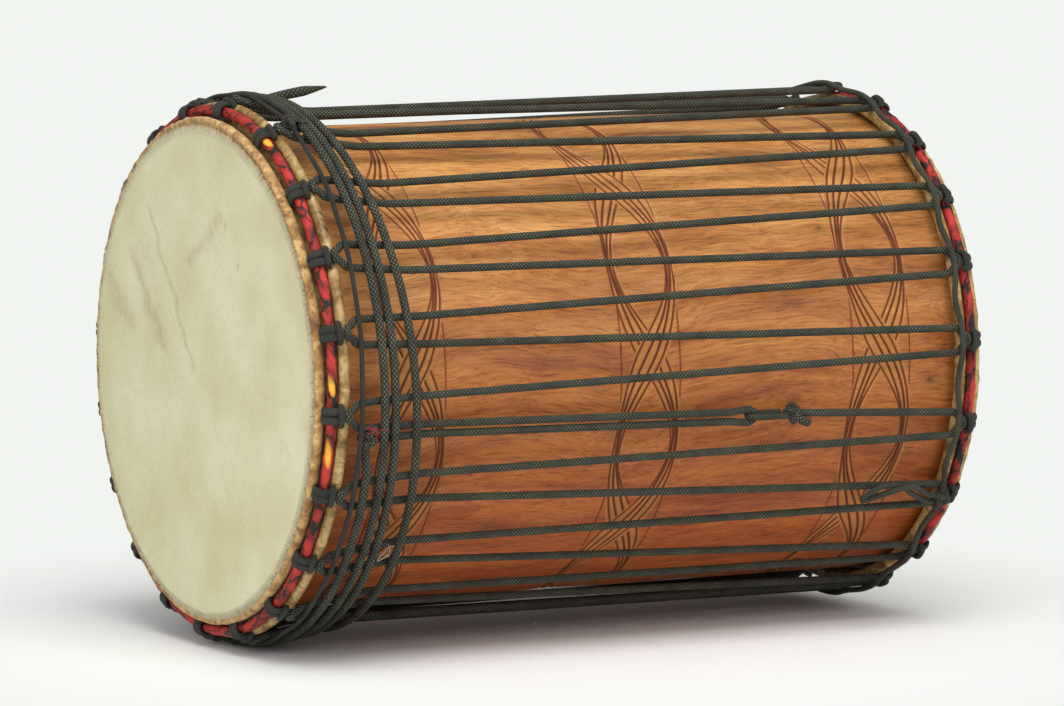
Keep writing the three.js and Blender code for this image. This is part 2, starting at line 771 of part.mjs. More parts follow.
// The slip end: the rear rope's doubled end, which crosses a strand of the lacing and back
function slipEndPoints() {
  const root = rearChainSection.y - chainKnotRadius - fit;
  const over = rearBase.x + lacing + rearChain + ropeFit + slipEndRise;
  const half = slipEndSpacing / 2;
  const middle = slipEndShares.map(([reach, swing]) => (
    new THREE.Vector2(root - slipEndReach * reach, slipEndSwing * swing)
  ));
  const end = middle.at(-1);
  const strand = (side) => middle.map(({ x, y }, i) => {
    const heading = middle[Math.min(i + 1, middle.length - 1)].clone()
      .sub(middle[Math.max(i - 1, 0)]).normalize();
    const shift = y - side * half * heading.x;
    const place = x + side * half * heading.y;
    return drumPoint(place, over, rearKnotAngle, shift);
  });
  const bight = drumPoint(end.x - slipEndSpacing, over, rearKnotAngle, end.y - half);
  const leaving = (side) => [
    drumPoint(root, over, rearKnotAngle, side * half),
    drumPoint(root - rearChainDiameter, over, rearKnotAngle, side * half),
  ];
  return [
    ...leaving(1),
    ...strand(1),
    bight,
    ...strand(-1).reverse(),
    ...leaving(-1).reverse(),
  ];
}

const slipEndRoute = slipEndPoints();
report('rear slip end', slipEndRoute, rearChain);
add(drum, 'rear_slip_end', openRope(slipEndRoute, rearChain, ropeSides), braidedRope);

// The drum lies on the plane z = 0, with the middle of its box over the origin
const box = new THREE.Box3().setFromObject(drum, true);
const middle = box.getCenter(new THREE.Vector3());
drum.position.set(-middle.x, -middle.y, -box.min.z);

export default drum;
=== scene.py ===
# The looks of a dunun, a West African bass drum, lying on its side.
# Lengths are in millimetres from the middle of the drum's axis, until a mesh is made in metres.
# The axis runs along X, and the front head faces -X. Angles are in degrees from the top, growing
# towards +Y. A station is a distance along the axis from the middle towards either head. A section
# point is a radius and a station.

import math

import bpy
import numpy as np
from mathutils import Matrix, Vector


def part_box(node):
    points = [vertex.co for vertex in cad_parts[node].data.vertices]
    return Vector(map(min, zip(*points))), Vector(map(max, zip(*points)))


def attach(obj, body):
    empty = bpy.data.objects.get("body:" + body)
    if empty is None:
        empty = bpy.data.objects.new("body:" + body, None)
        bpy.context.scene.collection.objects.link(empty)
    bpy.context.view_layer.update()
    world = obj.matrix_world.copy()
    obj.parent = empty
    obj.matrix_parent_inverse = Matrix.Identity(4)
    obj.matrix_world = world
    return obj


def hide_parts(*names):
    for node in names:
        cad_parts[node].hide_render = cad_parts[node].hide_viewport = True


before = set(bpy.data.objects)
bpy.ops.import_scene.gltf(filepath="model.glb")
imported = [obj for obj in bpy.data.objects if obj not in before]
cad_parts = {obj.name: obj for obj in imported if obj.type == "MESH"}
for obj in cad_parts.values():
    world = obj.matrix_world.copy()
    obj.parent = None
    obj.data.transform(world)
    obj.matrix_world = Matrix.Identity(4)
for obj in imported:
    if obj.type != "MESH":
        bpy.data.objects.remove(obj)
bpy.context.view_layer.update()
shell_low, shell_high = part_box("shell")
drum_middle = (shell_low + shell_high) / 2

# Shell and hides
shell_half = 242.0
shell_radius = 155.5
shell_wall = 14.0
hide_radius = 157.9
head_station = 244.4
head_round = 2.6

# Rings
cloth_radius = 3.6
roll_radius = 3.6
ring_spacing = 7.5

# Ropes, by their radius
lacing = 2.5
loop_rope = 1.8
front_chain = 1.5
rear_chain = 1.9
eye_rope = 2.0
rope_fit = 0.35
fit = 0.3
turn_rise = 0.8

# Where the lacing's strands run
loop_count = 20
loop_pitch = 18.0
start_loop = 6
base_half = 8.0
shoulder_half = 4.3
apex_half = 2.6
span_radius = 165.2
pressed_radius = 170.5
pressed_station = 205.0
span_station = 170.0

# How far each loop has crept round its ring, in degrees
front_creep = (0.5, 0, 0, 0, 0, 0, 0, 0, 0, 0, 0.5, 1, 0.8, 0.5, 0, -0.7, -2.3, -3.4, -1.8, 0.9)
rear_creep = (-2.5, -3.1, -2.9, -1.7, -0.3, -0.1, -1.1, -1.2, -2.9, -3.1, -2, -1,
              0, 0, 0, 0, 0, 0, 0, -1.2)


def drum_point(place, radius, angle, along=0.0):
    """A point of the drum: its place along X, its radius and angle, and a shift along the rim."""
    turn = np.radians(angle)
    across = radius * np.sin(turn) + along * np.cos(turn)
    up = radius * np.cos(turn) - along * np.sin(turn)
    return np.stack(np.broadcast_arrays(place, across, up), axis=-1).astype(float)


along_drum = np.array([1.0, 0, 0])


def out_of(angle):
    """The way straight out of the drum at an angle."""
    return drum_point(0, 1.0, angle)


def along_rim(angle):
    """The way along the rim at an angle."""
    return drum_point(0, 0, angle, 1.0)


def polar(centre, radius, tilt):
    """A section point: tilt 0 is out of the head, 90 is away from the axis."""
    turn = math.radians(tilt)
    return np.array([centre[0] + radius * math.sin(turn), centre[1] + radius * math.cos(turn)])


class DrumEnd:
    """One end of the drum: its rings, and where the lacing turns at each of its loops. The rings
    are given by the crown ring's section point, the tilt from it to the flesh ring, and how far
    their tops lean in. The reference rope is given by its radius and its drop from the roll."""

    def __init__(self, name, side, rings, tilts, base, chain, phase, creep):
        self.name, self.side = name, side
        self.crown, flesh_tilt, self.lean = rings
        self.bar_tilt, apex_tilt, shoulder_tilt = tilts
        self.flesh = polar(self.crown, ring_spacing, flesh_tilt)
        seat = roll_radius + rope_fit + lacing
        self.apex = polar(self.flesh, seat, apex_tilt)
        self.crest = polar(self.flesh, seat + turn_rise, apex_tilt)
        self.shoulder = polar(self.flesh, seat + turn_rise, shoulder_tilt)
        self.base = self.flesh + np.array(base)
        self.chain, drop = chain
        self.chain_at = np.array([self.base[0] + lacing + rope_fit + self.chain,
                                  self.flesh[1] - drop])
        self.base_turn = math.degrees(math.atan(base_half / self.base[0]))
        self.phase, self.creep = phase, creep

    def loop_angle(self, index):
        """A loop's angle. The count may run on past the last loop, or back before the first."""
        return self.phase - self.side * loop_pitch * index + self.creep[index % loop_count]

    def put(self, section, angle, along=0.0):
        """A section point at an angle. The rings lean, so their tops sit nearer the middle."""
        station = section[1] - self.lean * np.cos(np.radians(angle))
        return drum_point(self.side * station, section[0], angle, along)

    def lacing_turn(self, angle):
        """The lacing's way round a loop: up to the crest, and down the other side."""
        rise = [(self.base, base_half), (self.shoulder, shoulder_half), (self.apex, apex_half)]
        fall = [(section, -along) for section, along in rise[::-1]]
        return [self.put(section, angle, along) for section, along in rise + [(self.crest, 0)] + fall]


front = DrumEnd("front", -1, rings=(np.array([167.4, 234.4]), 168.5, 2.2), tilts=(114, 96, 135),
                base=(4.3, -7.1), chain=(front_chain, 8.8), phase=13.5, creep=front_creep)
rear = DrumEnd("rear", 1, rings=(np.array([163.3, 236.4]), 192.3, 0.0), tilts=(98, 74, 112),
               base=(6.3, -5.1), chain=(rear_chain, 4.6), phase=4.5, creep=rear_creep)

# Meshes


def make_mesh(name, points, quads, uvs=None, values=None):
    """A mesh object from points in millimetres and quads, with one uv for each corner."""
    mesh = bpy.data.meshes.new(name)
    points = np.asarray(points, float) / 1000 + np.array(drum_middle)
    quads = np.asarray(quads, np.int32)
    mesh.vertices.add(len(points))
    mesh.vertices.foreach_set("co", points.astype(np.float32).ravel())
    mesh.loops.add(quads.size)
    mesh.loops.foreach_set("vertex_index", quads.ravel())
    mesh.polygons.add(len(quads))
    mesh.polygons.foreach_set("loop_start", np.arange(0, quads.size, 4, dtype=np.int32))
    mesh.polygons.foreach_set("loop_total", np.full(len(quads), 4, np.int32))
    if uvs is not None:
        layer = mesh.uv_layers.new(name="UVMap")
        layer.data.foreach_set("uv", np.asarray(uvs, np.float32).ravel())
    for key, value in (values or {}).items():
        attribute = mesh.attributes.new(key, "FLOAT", "POINT")
        attribute.data.foreach_set("value", np.asarray(value, np.float32).ravel())
    mesh.update(calc_edges=True)
    mesh.polygons.foreach_set("use_smooth", np.ones(len(quads), bool))
    piece = bpy.data.objects.new(name, mesh)
    bpy.context.scene.collection.objects.link(piece)
    return piece


def grid_quads(rows, columns, close_rows=False, first=0):
    """Quads of a grid of points whose columns close round on themselves, and the row and column
    of each corner."""
    i, j = np.meshgrid(np.arange(rows - 1 + close_rows), np.arange(columns), indexing="ij")
    corners = np.stack([np.stack([i + down, j + on], -1)
                        for down, on in ((0, 0), (0, 1), (1, 1), (1, 0))], axis=2)
    corners = corners.reshape(-1, 4, 2)
    quads = (corners[..., 0] % rows) * columns + corners[..., 1] % columns + first
    return quads, corners


def revolve(name, outline, steps, shape, values):
    """Turns an outline of (radius, place) points round the axis. shape moves the points."""
    outline = np.asarray(outline, float)
    angles = np.arange(steps) * 360 / steps
    grid = np.repeat(angles[None, :], len(outline), axis=0)
    radius = np.repeat(outline[:, :1], steps, axis=1)
    place = np.repeat(outline[:, 1:2], steps, axis=1)
    radius, place = shape(radius, place, grid)
    points = drum_point(place, radius, grid).reshape(-1, 3)
    quads, _ = grid_quads(len(outline), steps)
    return make_mesh(name, points, quads, values=values(radius, place, grid))


def unit(vectors):
    """The same directions, each of length 1."""
    vectors = np.asarray(vectors, float)
    return vectors / np.linalg.norm(vectors, axis=-1, keepdims=True)


def carried_frames(points, tangents, closed):
    """Two directions across a route at each point, which don't twist about it."""
    start = np.array([0.0, 0.0, 1.0]) if abs(tangents[0][2]) < 0.8 else np.array([0.0, 1.0, 0.0])
    side = unit(np.cross(tangents[0], start))
    sides = [side]
    for tangent in tangents[1:]:
        side = unit(side - tangent * np.dot(side, tangent))
        sides.append(side)
    sides = np.array(sides)
    others = np.cross(tangents, sides)
    if closed:
        last = sides[-1] - tangents[0] * np.dot(sides[-1], tangents[0])
        miss = math.atan2(np.dot(last, others[0]), np.dot(last, sides[0]))
        turn = -miss * np.arange(len(points)) / len(points)
        cosine, sine = np.cos(turn)[:, None], np.sin(turn)[:, None]
        sides, others = sides * cosine + others * sine, others * cosine - sides * sine
    return sides, others


def rope_skin(points, radius, sides=12, closed=False, press=None, first=0):
    """A rope's skin. Where it is pressed flat, press is (width, thickness, the way it is wide).
    The uvs count in rope girths, so that the braid runs evenly."""
    points = np.asarray(points, float)
    radii = np.broadcast_to(np.asarray(radius, float), len(points))
    if closed:
        tangents = unit(np.roll(points, -1, axis=0) - np.roll(points, 1, axis=0))
    else:
        # A rounded cap closes each end
        head = unit(points[0] - points[1]) * radii[0]
        tail = unit(points[-1] - points[-2]) * radii[-1]
        points = np.vstack([points[0] + head * 0.35, points[0] + head * 0.25, points,
                            points[-1] + tail * 0.25, points[-1] + tail * 0.35])
        radii = np.concatenate([radii[0] * np.array([0.05, 0.75]), radii,
                                radii[-1] * np.array([0.75, 0.05])])
        tangents = unit(np.gradient(points, axis=0))
    wide, thin = 1.0, 1.0
    if press:
        wide, thin, way = press
        way = np.asarray(way, float)
        if way.ndim == 2:
            way = np.vstack([way[:1], way[:1], way, way[-1:], way[-1:]])
        side = unit(way - tangents * np.sum(way * tangents, axis=1, keepdims=True))
        other = np.cross(tangents, side)
    else:
        side, other = carried_frames(points, tangents, closed)
    turn = (np.arange(sides) * 2 * math.pi / sides)[None, :, None]
    skin = points[:, None, :] + radii[:, None, None] * (
        wide * np.cos(turn) * side[:, None, :] + thin * np.sin(turn) * other[:, None, :])
    girth = 2 * math.pi * radii.max()
    along = np.concatenate([[0], np.cumsum(np.linalg.norm(np.diff(points, axis=0), axis=1))])
    if closed:
        along = np.append(along, along[-1] + np.linalg.norm(points[0] - points[-1]))
        along *= max(1, round(along[-1] / girth)) / along[-1]
    else:
        along = along / girth
    quads, corners = grid_quads(len(points), sides, closed, first)
    uvs = np.stack([corners[..., 1] / sides, along[corners[..., 0]]], axis=-1)
    return skin.reshape(-1, 3), quads, uvs


def dress(piece, material, nodes):
    """Gives a piece its material and its body, and hides the CAD nodes that it stands for."""
    if material is not None:
        piece.data.materials.append(material)
    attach(piece, "root")
    if nodes:
        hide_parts(*nodes)


def rope_piece(name, strands, material, nodes):
    """One piece of rope, or several strands that belong together, each as rope_skin takes it."""
    points, quads, uvs = [], [], []
    first = 0
    for strand in strands:
        skin, faces, corners = rope_skin(first=first, **strand)
        points.append(skin)
        quads.append(faces)
        uvs.append(corners)
        first += len(skin)
    piece = make_mesh(name, np.vstack(points), np.vstack(quads), np.concatenate(uvs))
    dress(piece, material, nodes)


def bend(points, reach, closed=False, step=6.0, corner=6):
    """Rounds the corners of a route, and keeps the straight stretches straight."""
    points = np.asarray(points, float)
    count = len(points)
    route = []
    for i in range(count):
        here = points[i]
        if not closed and i in (0, count - 1):
            route.append(here)
            continue
        before, after = points[i - 1], points[(i + 1) % count]
        back = np.linalg.norm(before - here)
        ahead = np.linalg.norm(after - here)
        start = here + (before - here) * min(reach, back / 2) / back
        end = here + (after - here) * min(reach, ahead / 2) / ahead
        for t in np.linspace(0, 1, corner):
            route.append(start * (1 - t) ** 2 + here * 2 * t * (1 - t) + end * t ** 2)
    route = np.array(route)
    if closed:
        route = np.vstack([route, route[:1]])
    finer = [route[0]]
    for a, b in zip(route[:-1], route[1:]):
        length = np.linalg.norm(b - a)
        if length < 0.05:
            continue
        parts = max(1, int(math.ceil(length / step)))
        finer.extend(a + (b - a) * k / parts for k in range(1, parts + 1))
    finer = np.array(finer)
    return finer[:-1] if closed else finer


def wave_noise(count, periods, seed):
    """Smooth noise round a ring, from -1 to 1, made of a few waves."""
    rng = np.random.default_rng(seed)
    turn = np.arange(count) * 2 * math.pi / count
    total = np.zeros(count)
    for period in periods:
        total += np.sin(turn * period + rng.uniform(0, 2 * math.pi)) * rng.uniform(0.5, 1)
    return total / len(periods)


# Materials

mixed = {"data_type": "RGBA", "out": 2}
multiplied = {"blend_type": "MULTIPLY", **mixed}


def colour(code):
    """An sRGB hex colour as a linear one."""
    parts = [int(code[i:i + 2], 16) / 255 for i in (1, 3, 5)]
    return tuple(p / 12.92 if p <= 0.04045 else ((p + 0.055) / 1.055) ** 2.4 for p in parts) + (1,)


def per_mm(size):
    """The noise scale, per metre, for features of this size in millimetres."""
    return 1000 / np.asarray(size, float)


class Finish:
    """A material while it is made: its nodes, and the shader that they feed."""

    def __init__(self, name, roughness, ior=1.5, metallic=0.0):
        self.material = bpy.data.materials.new(name)
        self.material.use_nodes = True
        self.tree = self.material.node_tree
        self.shader = self.tree.nodes["Principled BSDF"]
        self.shader.inputs["Roughness"].default_value = roughness
        self.shader.inputs["IOR"].default_value = ior
        self.shader.inputs["Metallic"].default_value = metallic

    def add(self, kind, inputs=None, stops=(), out=0, **settings):
        """Adds a node with its settings and links, and returns one of its outputs. A colour ramp
        also takes its stops."""
        node = self.tree.nodes.new("ShaderNode" + kind)
        for key, value in settings.items():
            setattr(node, key, value)
        for i, (place, tone) in enumerate(stops):
            elements = node.color_ramp.elements
            element = elements[i] if i < 2 else elements.new(place)
            element.position = place
            element.color = colour(tone)
        for key, value in (inputs or {}).items():
            if isinstance(value, bpy.types.NodeSocket):
                self.tree.links.new(value, node.inputs[key])
            else:
                node.inputs[key].default_value = value
        return node.outputs[out]

    def patches(self, place, sizes, detail, roughness=0.5):
        """Uneven patches of these sizes, in millimetres along X, Y and Z."""
        scale = np.broadcast_to(per_mm(sizes), 3)
        scaled = self.add("Mapping", {"Vector": place, "Scale": scale})
        return self.add("TexNoise", {
            "Vector": scaled, "Scale": 1.0, "Detail": detail, "Roughness": roughness})

    def pushed(self, place, scale, detail, reach):
        """The place, pushed about by noise, so that what is drawn there wanders."""
        noise = self.add("TexNoise", {"Vector": place, "Scale": scale, "Detail": detail},
                         out="Color")
        shift = self.add("VectorMath", {0: noise, 1: (0.5, 0.5, 0.5)}, operation="SUBTRACT")
        push = self.add("VectorMath", {0: shift, "Scale": reach}, operation="SCALE")
        return self.add("VectorMath", {0: place, 1: push}, operation="ADD")

    def stain(self, base, pattern, stops, share):
        """Darkens a colour by a pattern, whose tones are the stops."""
        tone = self.add("ValToRGB", {"Fac": pattern}, stops)
        return self.add("Mix", {"Factor": share, 6: base, 7: tone}, **multiplied)

    def cover(self, tone, height, strength, depth):
        """Gives the shader its colour and its relief, and returns the material."""
        bump = self.add("Bump", {"Height": height, "Strength": strength, "Distance": depth})
        self.tree.links.new(tone, self.shader.inputs["Base Color"])
        self.tree.links.new(bump, self.shader.inputs["Normal"])
        return self.material


def lenke_wood():
    """Lenke, a dense golden-red hardwood, rubbed with oil: satin, with fine streaks along the log."""
    finish = Finish("oiled_lenke_wood", roughness=0.4, ior=1.43)
    place = finish.add("TexCoord", out="Object")
    grown = finish.pushed(place, 9.0, 2.0, 0.032)
    # Figure: broad streaks, 130 mm long and 16 mm wide
    broad = finish.patches(grown, (130, 16, 16), 5.0, 0.62)
    # Grain: fine streaks, 24 mm long and 1.6 mm wide
    fine = finish.patches(grown, (24, 1.6, 1.6), 4.0, 0.65)
    # Pores: short dark ticks, drawn 9 mm long and 0.9 mm wide so that they show
    pore = finish.patches(grown, (9, 0.9, 0.9), 2.0)
    figure = finish.add("ValToRGB", {"Fac": broad}, [
        (0.3, "#9a6633"), (0.42, "#b88145"), (0.52, "#ca9454"), (0.64, "#d5a361"),
        (0.78, "#e0b373")])
    veined = finish.stain(figure, fine, [(0.3, "#a97f5c"), (0.5, "#ecdac6"), (0.68, "#ffffff")],
                          0.75)
    # Painted shade: the log's lower side is darkened and reddened, fading out towards its upper side,
    # which stays gold
    height = finish.add("SeparateXYZ", {0: place}, out=2)
    shade = finish.add("MapRange", {
        "Value": height, "From Min": 0.05, "From Max": 0.3, "To Min": 1.0, "To Max": 0.0})
    shaded_lower_side = finish.add("Mix", {"Factor": shade, 6: veined, 7: colour("#eeae78")}, **multiplied)
    pored = finish.stain(shaded_lower_side, pore, [(0.32, "#8a5536"), (0.42, "#ffffff")], 0.45)
    scraped, gouge, knot = (finish.add("Attribute", attribute_name=name, out="Fac")
                            for name in ("scraped", "gouge", "knot"))
    # The carving: the knife left the wood between its lines golden, and the gouged lines are coloured
    # dark
    golden_share = finish.add("Math", {0: scraped, 1: 0.5}, operation="MULTIPLY")
    golden = finish.add("Mix", {"Factor": golden_share, 6: pored, 7: colour("#c08a4c")}, **mixed)
    carved = finish.stain(golden, gouge, [
        (0.0, "#ffffff"), (0.25, "#ffffff"), (0.55, "#a9683c"), (0.9, "#4e2413")], 0.9)
    knotted = finish.add("Mix", {"Factor": knot, 6: carved, 7: colour("#4a2411")}, **mixed)
    # The oil's satin varies with the grain, and the scraped wood is matt
    satin = finish.add("MapRange", {
        "Value": fine, "From Min": 0.3, "From Max": 0.7, "To Min": 0.55, "To Max": 0.42})
    matt = finish.add("Math", {0: scraped, 1: 0.75}, operation="MULTIPLY")
    dull = finish.add("Math", {0: satin, 1: matt}, operation="MAXIMUM")
    finish.tree.links.new(dull, finish.shader.inputs["Roughness"])
    relief = finish.add("Math", {0: fine, 1: pore}, operation="ADD")
    return finish.cover(knotted, relief, 0.35, 0.0003)


def mottled(finish, place, tones, fleck_tone, size):
    """The mottling of bare hide: its colour, and the fleck that its bump takes."""
    mottle = finish.add("TexNoise", {
        "Vector": place, "Scale": per_mm(size), "Detail": 6.0, "Roughness": 0.65,
        "Distortion": 0.6})
    ground = finish.add("ValToRGB", {"Fac": mottle}, zip((0.32, 0.46, 0.6), tones))
    fleck = finish.patches(place, 2.5, 3.0, 0.6)
    return finish.stain(ground, fleck, [(0.33, fleck_tone), (0.46, "#ffffff")], 0.55), fleck


def goatskin():
    """Goatskin: short cream hair left on the head, matt, and shaved bare outside the hair's edge."""
    finish = Finish("goatskin", roughness=0.82, ior=1.45)
    place = finish.add("TexCoord", out="Object")
    cloudy = finish.patches(place, 60, 3.0)
    ground = finish.add("ValToRGB", {"Fac": cloudy}, [
        (0.32, "#d0ca9d"), (0.5, "#d9d4ae"), (0.68, "#e0dcbc")])
    # Brown marks where the goat's veins and scars ran, broken up by patches of 5 mm
    blotch = finish.patches(place, 5, 4.0, 0.7)
    mark = finish.add("Attribute", attribute_name="mark", out="Fac")
    broken = finish.add("MapRange", {
        "Value": blotch, "From Min": 0.35, "From Max": 0.6, "To Min": 0.35, "To Max": 1.0})
    share = finish.add("Math", {0: mark, 1: broken}, operation="MULTIPLY")
    stained = finish.add("Mix", {"Factor": share, 6: ground, 7: colour("#a07a42")}, **mixed)
    # Hair: lies downwards, drawn 4 mm long and 0.7 mm wide so that it shows
    combed = finish.patches(place, (0.7, 0.7, 4), 3.0, 0.7)
    haired = finish.stain(stained, combed, [(0.25, "#ddd4b4"), (0.55, "#ffffff")], 0.6)
    bare, fleck = mottled(finish, place, ("#74502d", "#a57c44", "#d0ac6e"), "#835a3c", 9)
    shaved = finish.add("Attribute", attribute_name="shaved", out="Fac")
    skin_tone = finish.add("Mix", {"Factor": shaved, 6: haired, 7: bare}, **mixed)
    height = finish.add("Mix", {"Factor": shaved, 2: combed, 3: fleck}, data_type="FLOAT")
    finish.shader.inputs["Sheen Weight"].default_value = 0.15
    finish.shader.inputs["Sheen Roughness"].default_value = 0.5
    return finish.cover(skin_tone, height, 0.5, 0.0006)


def rolled_rawhide():
    """Rawhide, rolled wet round its ring and dried hard: mottled, horny and half glossy."""
    finish = Finish("rolled_rawhide", 0.42)
    place = finish.add("TexCoord", out="Object")
    bare, fleck = mottled(finish, place, ("#4e381a", "#8c6c38", "#bca068"), "#5f472a", 13)
    return finish.cover(bare, fleck, 0.5, 0.0007)


def wax_print_cotton():
    """Waxed cotton print, torn in strips: red with black crackle, black stretches with red
    patches, and a leaf in yellow here and there. Its uvs are millimetres."""
    finish = Finish("wax_print_cotton", 0.7)
    place = finish.add("UVMap")
    bent = finish.pushed(place, 0.25, 3.0, 9.0)
    # Crackle: lines round cells 26 mm long and 11 mm wide
    crack_at = finish.add("Mapping", {
        "Vector": bent, "Scale": (1 / 11, 1 / 26, 1.0), "Rotation": (0, 0, 0.5)})
    crack = finish.add("TexVoronoi", {"Vector": crack_at, "Scale": 1.0},
                       feature="DISTANCE_TO_EDGE", voronoi_dimensions="2D")
    red_ground = finish.add("ValToRGB", {"Fac": crack}, [
        (0.03, "#1d1512"), (0.07, "#a92320"), (0.3, "#bf2f2a")])
    # Red patches, 9 mm long and 5 mm wide, on the black stretches
    spot_at = finish.add("Mapping", {"Vector": bent, "Scale": (1 / 5, 1 / 9, 1.0)})
    spot = finish.add("TexVoronoi", {"Vector": spot_at, "Scale": 1.0}, voronoi_dimensions="2D")
    black_ground = finish.add("ValToRGB", {"Fac": spot}, [(0.38, "#b42824"), (0.46, "#1c1613")])
    zone = finish.add("TexNoise", {"Vector": place, "Scale": 0.022, "Detail": 1.0})
    zone_share = finish.add("MapRange", {"Value": zone, "From Min": 0.53, "From Max": 0.56})
    printed = finish.add("Mix", {"Factor": zone_share, 6: red_ground, 7: black_ground}, **mixed)
    # Leaves: orange, with yellow middles
    leaf = finish.add("Attribute", attribute_name="leaf", out="Fac")
    leaf_tone = finish.add("ValToRGB", {"Fac": leaf}, [
        (0.5, "#c9701a"), (0.62, "#e09820"), (0.85, "#e8b32c")])
    leaf_share = finish.add("MapRange", {"Value": leaf, "From Min": 0.42, "From Max": 0.5})
    leafed = finish.add("Mix", {"Factor": leaf_share, 6: printed, 7: leaf_tone}, **mixed)
    # Grime from hands and dust, in patches of about 11 mm
    grime = finish.add("TexNoise", {"Vector": place, "Scale": 0.09, "Detail": 5.0})
    worn = finish.stain(leafed, grime, [(0.36, "#6d5a4c"), (0.56, "#ffffff")], 0.7)
    # Weave: threads drawn 0.6 mm apart
    weave_at = finish.add("Mapping", {"Vector": place, "Scale": (1 / 0.6, 1 / 0.6, 1)})
    weave = finish.add("TexChecker", {"Vector": weave_at, "Scale": 1.0}, out="Fac")
    return finish.cover(worn, weave, 0.25, 0.0002)


def braided_cord(name, dark, middle, light, strands=6, roughness=0.72):
    """Braided polyester cord, charcoal: painted shade in the braid's dips, and painted highlight with
    olive dust on the strands' crowns.
    """
    finish = Finish(name, roughness)
    across = finish.add("SeparateXYZ", {0: finish.add("UVMap")})
    along = across.node.outputs[1]
    waves = []
    for kind in ("ADD", "SUBTRACT"):
        diagonal = finish.add("Math", {0: across, 1: along}, operation=kind)
        turn = finish.add("Math", {0: diagonal, 1: strands * math.pi}, operation="MULTIPLY")
        wave = finish.add("Math", {0: turn}, operation="SINE")
        waves.append(finish.add("Math", {0: wave}, operation="ABSOLUTE"))
    crown = finish.add("Math", {0: waves[0], 1: waves[1]}, operation="MULTIPLY")
    height = finish.add("Math", {0: crown, 1: 0.6}, operation="POWER")
    dust = finish.patches(finish.add("TexCoord", out="Object"), 16, 5.0, 0.7)
    dusty = finish.add("MapRange", {
        "Value": dust, "From Min": 0.35, "From Max": 0.65, "To Min": 0.7, "To Max": 1.05})
    # Painted shade and highlight: the tone runs from dark in the braid's dips to light on its crowns,
    # and dust varies it
    tone = finish.add("Math", {0: height, 1: dusty}, operation="MULTIPLY")
    shade = finish.add("ValToRGB", {"Fac": tone}, [(0.2, dark), (0.55, middle), (0.95, light)])
    return finish.cover(shade, height, 0.9, 0.0009)


def plain(name, code, roughness, metallic=0.0, grit=3.0):
    """A plain finish with a slight unevenness of the given size in millimetres."""
    finish = Finish(name, roughness, metallic=metallic)
    place = finish.add("TexCoord", out="Object")
    uneven = finish.add("TexNoise", {"Vector": place, "Scale": per_mm(grit)})
    dark = tuple(c * 0.7 for c in colour(code)[:3]) + (1,)
    tone = finish.add("Mix", {"Factor": uneven, 6: colour(code), 7: dark}, **mixed)
    return finish.cover(tone, uneven, 0.2, 0.0002)


wood = lenke_wood()
skin = goatskin()
roll_skin = rolled_rawhide()
cloth = wax_print_cotton()
cord = braided_cord("charcoal_braided_cord", "#13150e", "#2f3127", "#65664f")
# The thinner cord has a finer braid, worn shiny
smooth_cord = braided_cord("charcoal_worn_cord", "#181915", "#2a2b26", "#4b4c42", strands=8,
                           roughness=0.62)
# Rolled steel rod: dull grey-brown scale
steel = plain("mild_steel_rod", "#6a625a", 0.5, metallic=1.0)
# Goat hair: cream and a little glossy, and spun cotton: matt
hair = plain("goat_hair", "#eee7c2", 0.6, grit=20.0)
thread = plain("red_cotton_thread", "#a0222a", 0.8, grit=8.0)
pale_thread = plain("pale_cotton_thread", "#cfc6b4", 0.8, grit=8.0)

for node in ("front_flesh_ring", "rear_flesh_ring", "front_crown_ring", "rear_crown_ring"):
    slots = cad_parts[node].data.materials
    slots.clear()
    slots.append(steel)

# The shell, with its carving: in each band two bundles of gouged lines plait round the log

band_middles = (-169.9, 0.0, 173.0)
band_swing = 21.0
band_edge = 26.0
crossing_angle = 85.5
crossings_per_turn = 8
bundle_lines = (-1.5, -0.5, 0.5, 1.5)
narrow_gap = 1.5
wide_gap = 5.6
gouge_depth = 1.1
gouge_steep, gouge_easy = 0.6, 1.25
scraped_depth = 0.25
hand_unevenness = 0.25
# The knots in the wood: their station, angle and size
wood_knots = ((140.0, -56.0, 3.0), (210.0, -95.0, 5.0), (106.0, -99.0, 4.5), (130.0, -109.0, 3.0),
              (-60.0, 60.0, 4.0), (95.0, 150.0, 6.0), (-110.0, -20.0, 3.0))


def carve_band(place, angle, middle):
    """How deep a band's gouges are, and how far the wood between them is scraped, from 0 to 1."""
    half_turns = crossings_per_turn / 2 * np.radians(angle + crossing_angle)
    apart = np.abs(np.sin(half_turns))
    slope = band_swing * crossings_per_turn / 2 / shell_radius * np.cos(half_turns)
    gap = narrow_gap + (wide_gap - narrow_gap) * (1 - apart ** 1.6)
    lines, covers = {}, {}
    for way in (1, -1):
        away = (place - middle - way * band_swing * np.sin(half_turns)) / np.sqrt(1 + slope ** 2)
        lines[way] = np.zeros_like(place)
        for line in bundle_lines:
            wobble = 0.5 * np.sin(half_turns * 3 + line * 1.9 + way + middle)
            offset = away - line * gap - wobble
            half = np.where(offset * way > 0, gouge_easy, gouge_steep)
            cut = np.exp(-(offset / half) ** 2) * (1 - 0.13 * abs(line))
            lines[way] = np.maximum(lines[way], cut)
        covers[way] = np.abs(away) < 1.75 * gap + 0.8
    # A straight line runs along each edge of the band past the crossing
    edge = np.exp(-((np.abs(place - middle) - band_swing - 0.6) / gouge_steep) ** 2) * (apart < 0.93)
    deep = 0.75 * edge
    # Where the bundles cross, one runs on and the other stops short of it
    upper = np.where(np.sin(half_turns / 2 + 0.4 + middle) > 0, 1, -1)
    for runs_on in (False, True):
        for way in (1, -1):
            deep = np.where(covers[way] & ((upper == way) == runs_on), lines[way], deep)
    return deep, (covers[1] | covers[-1]) * 1.0


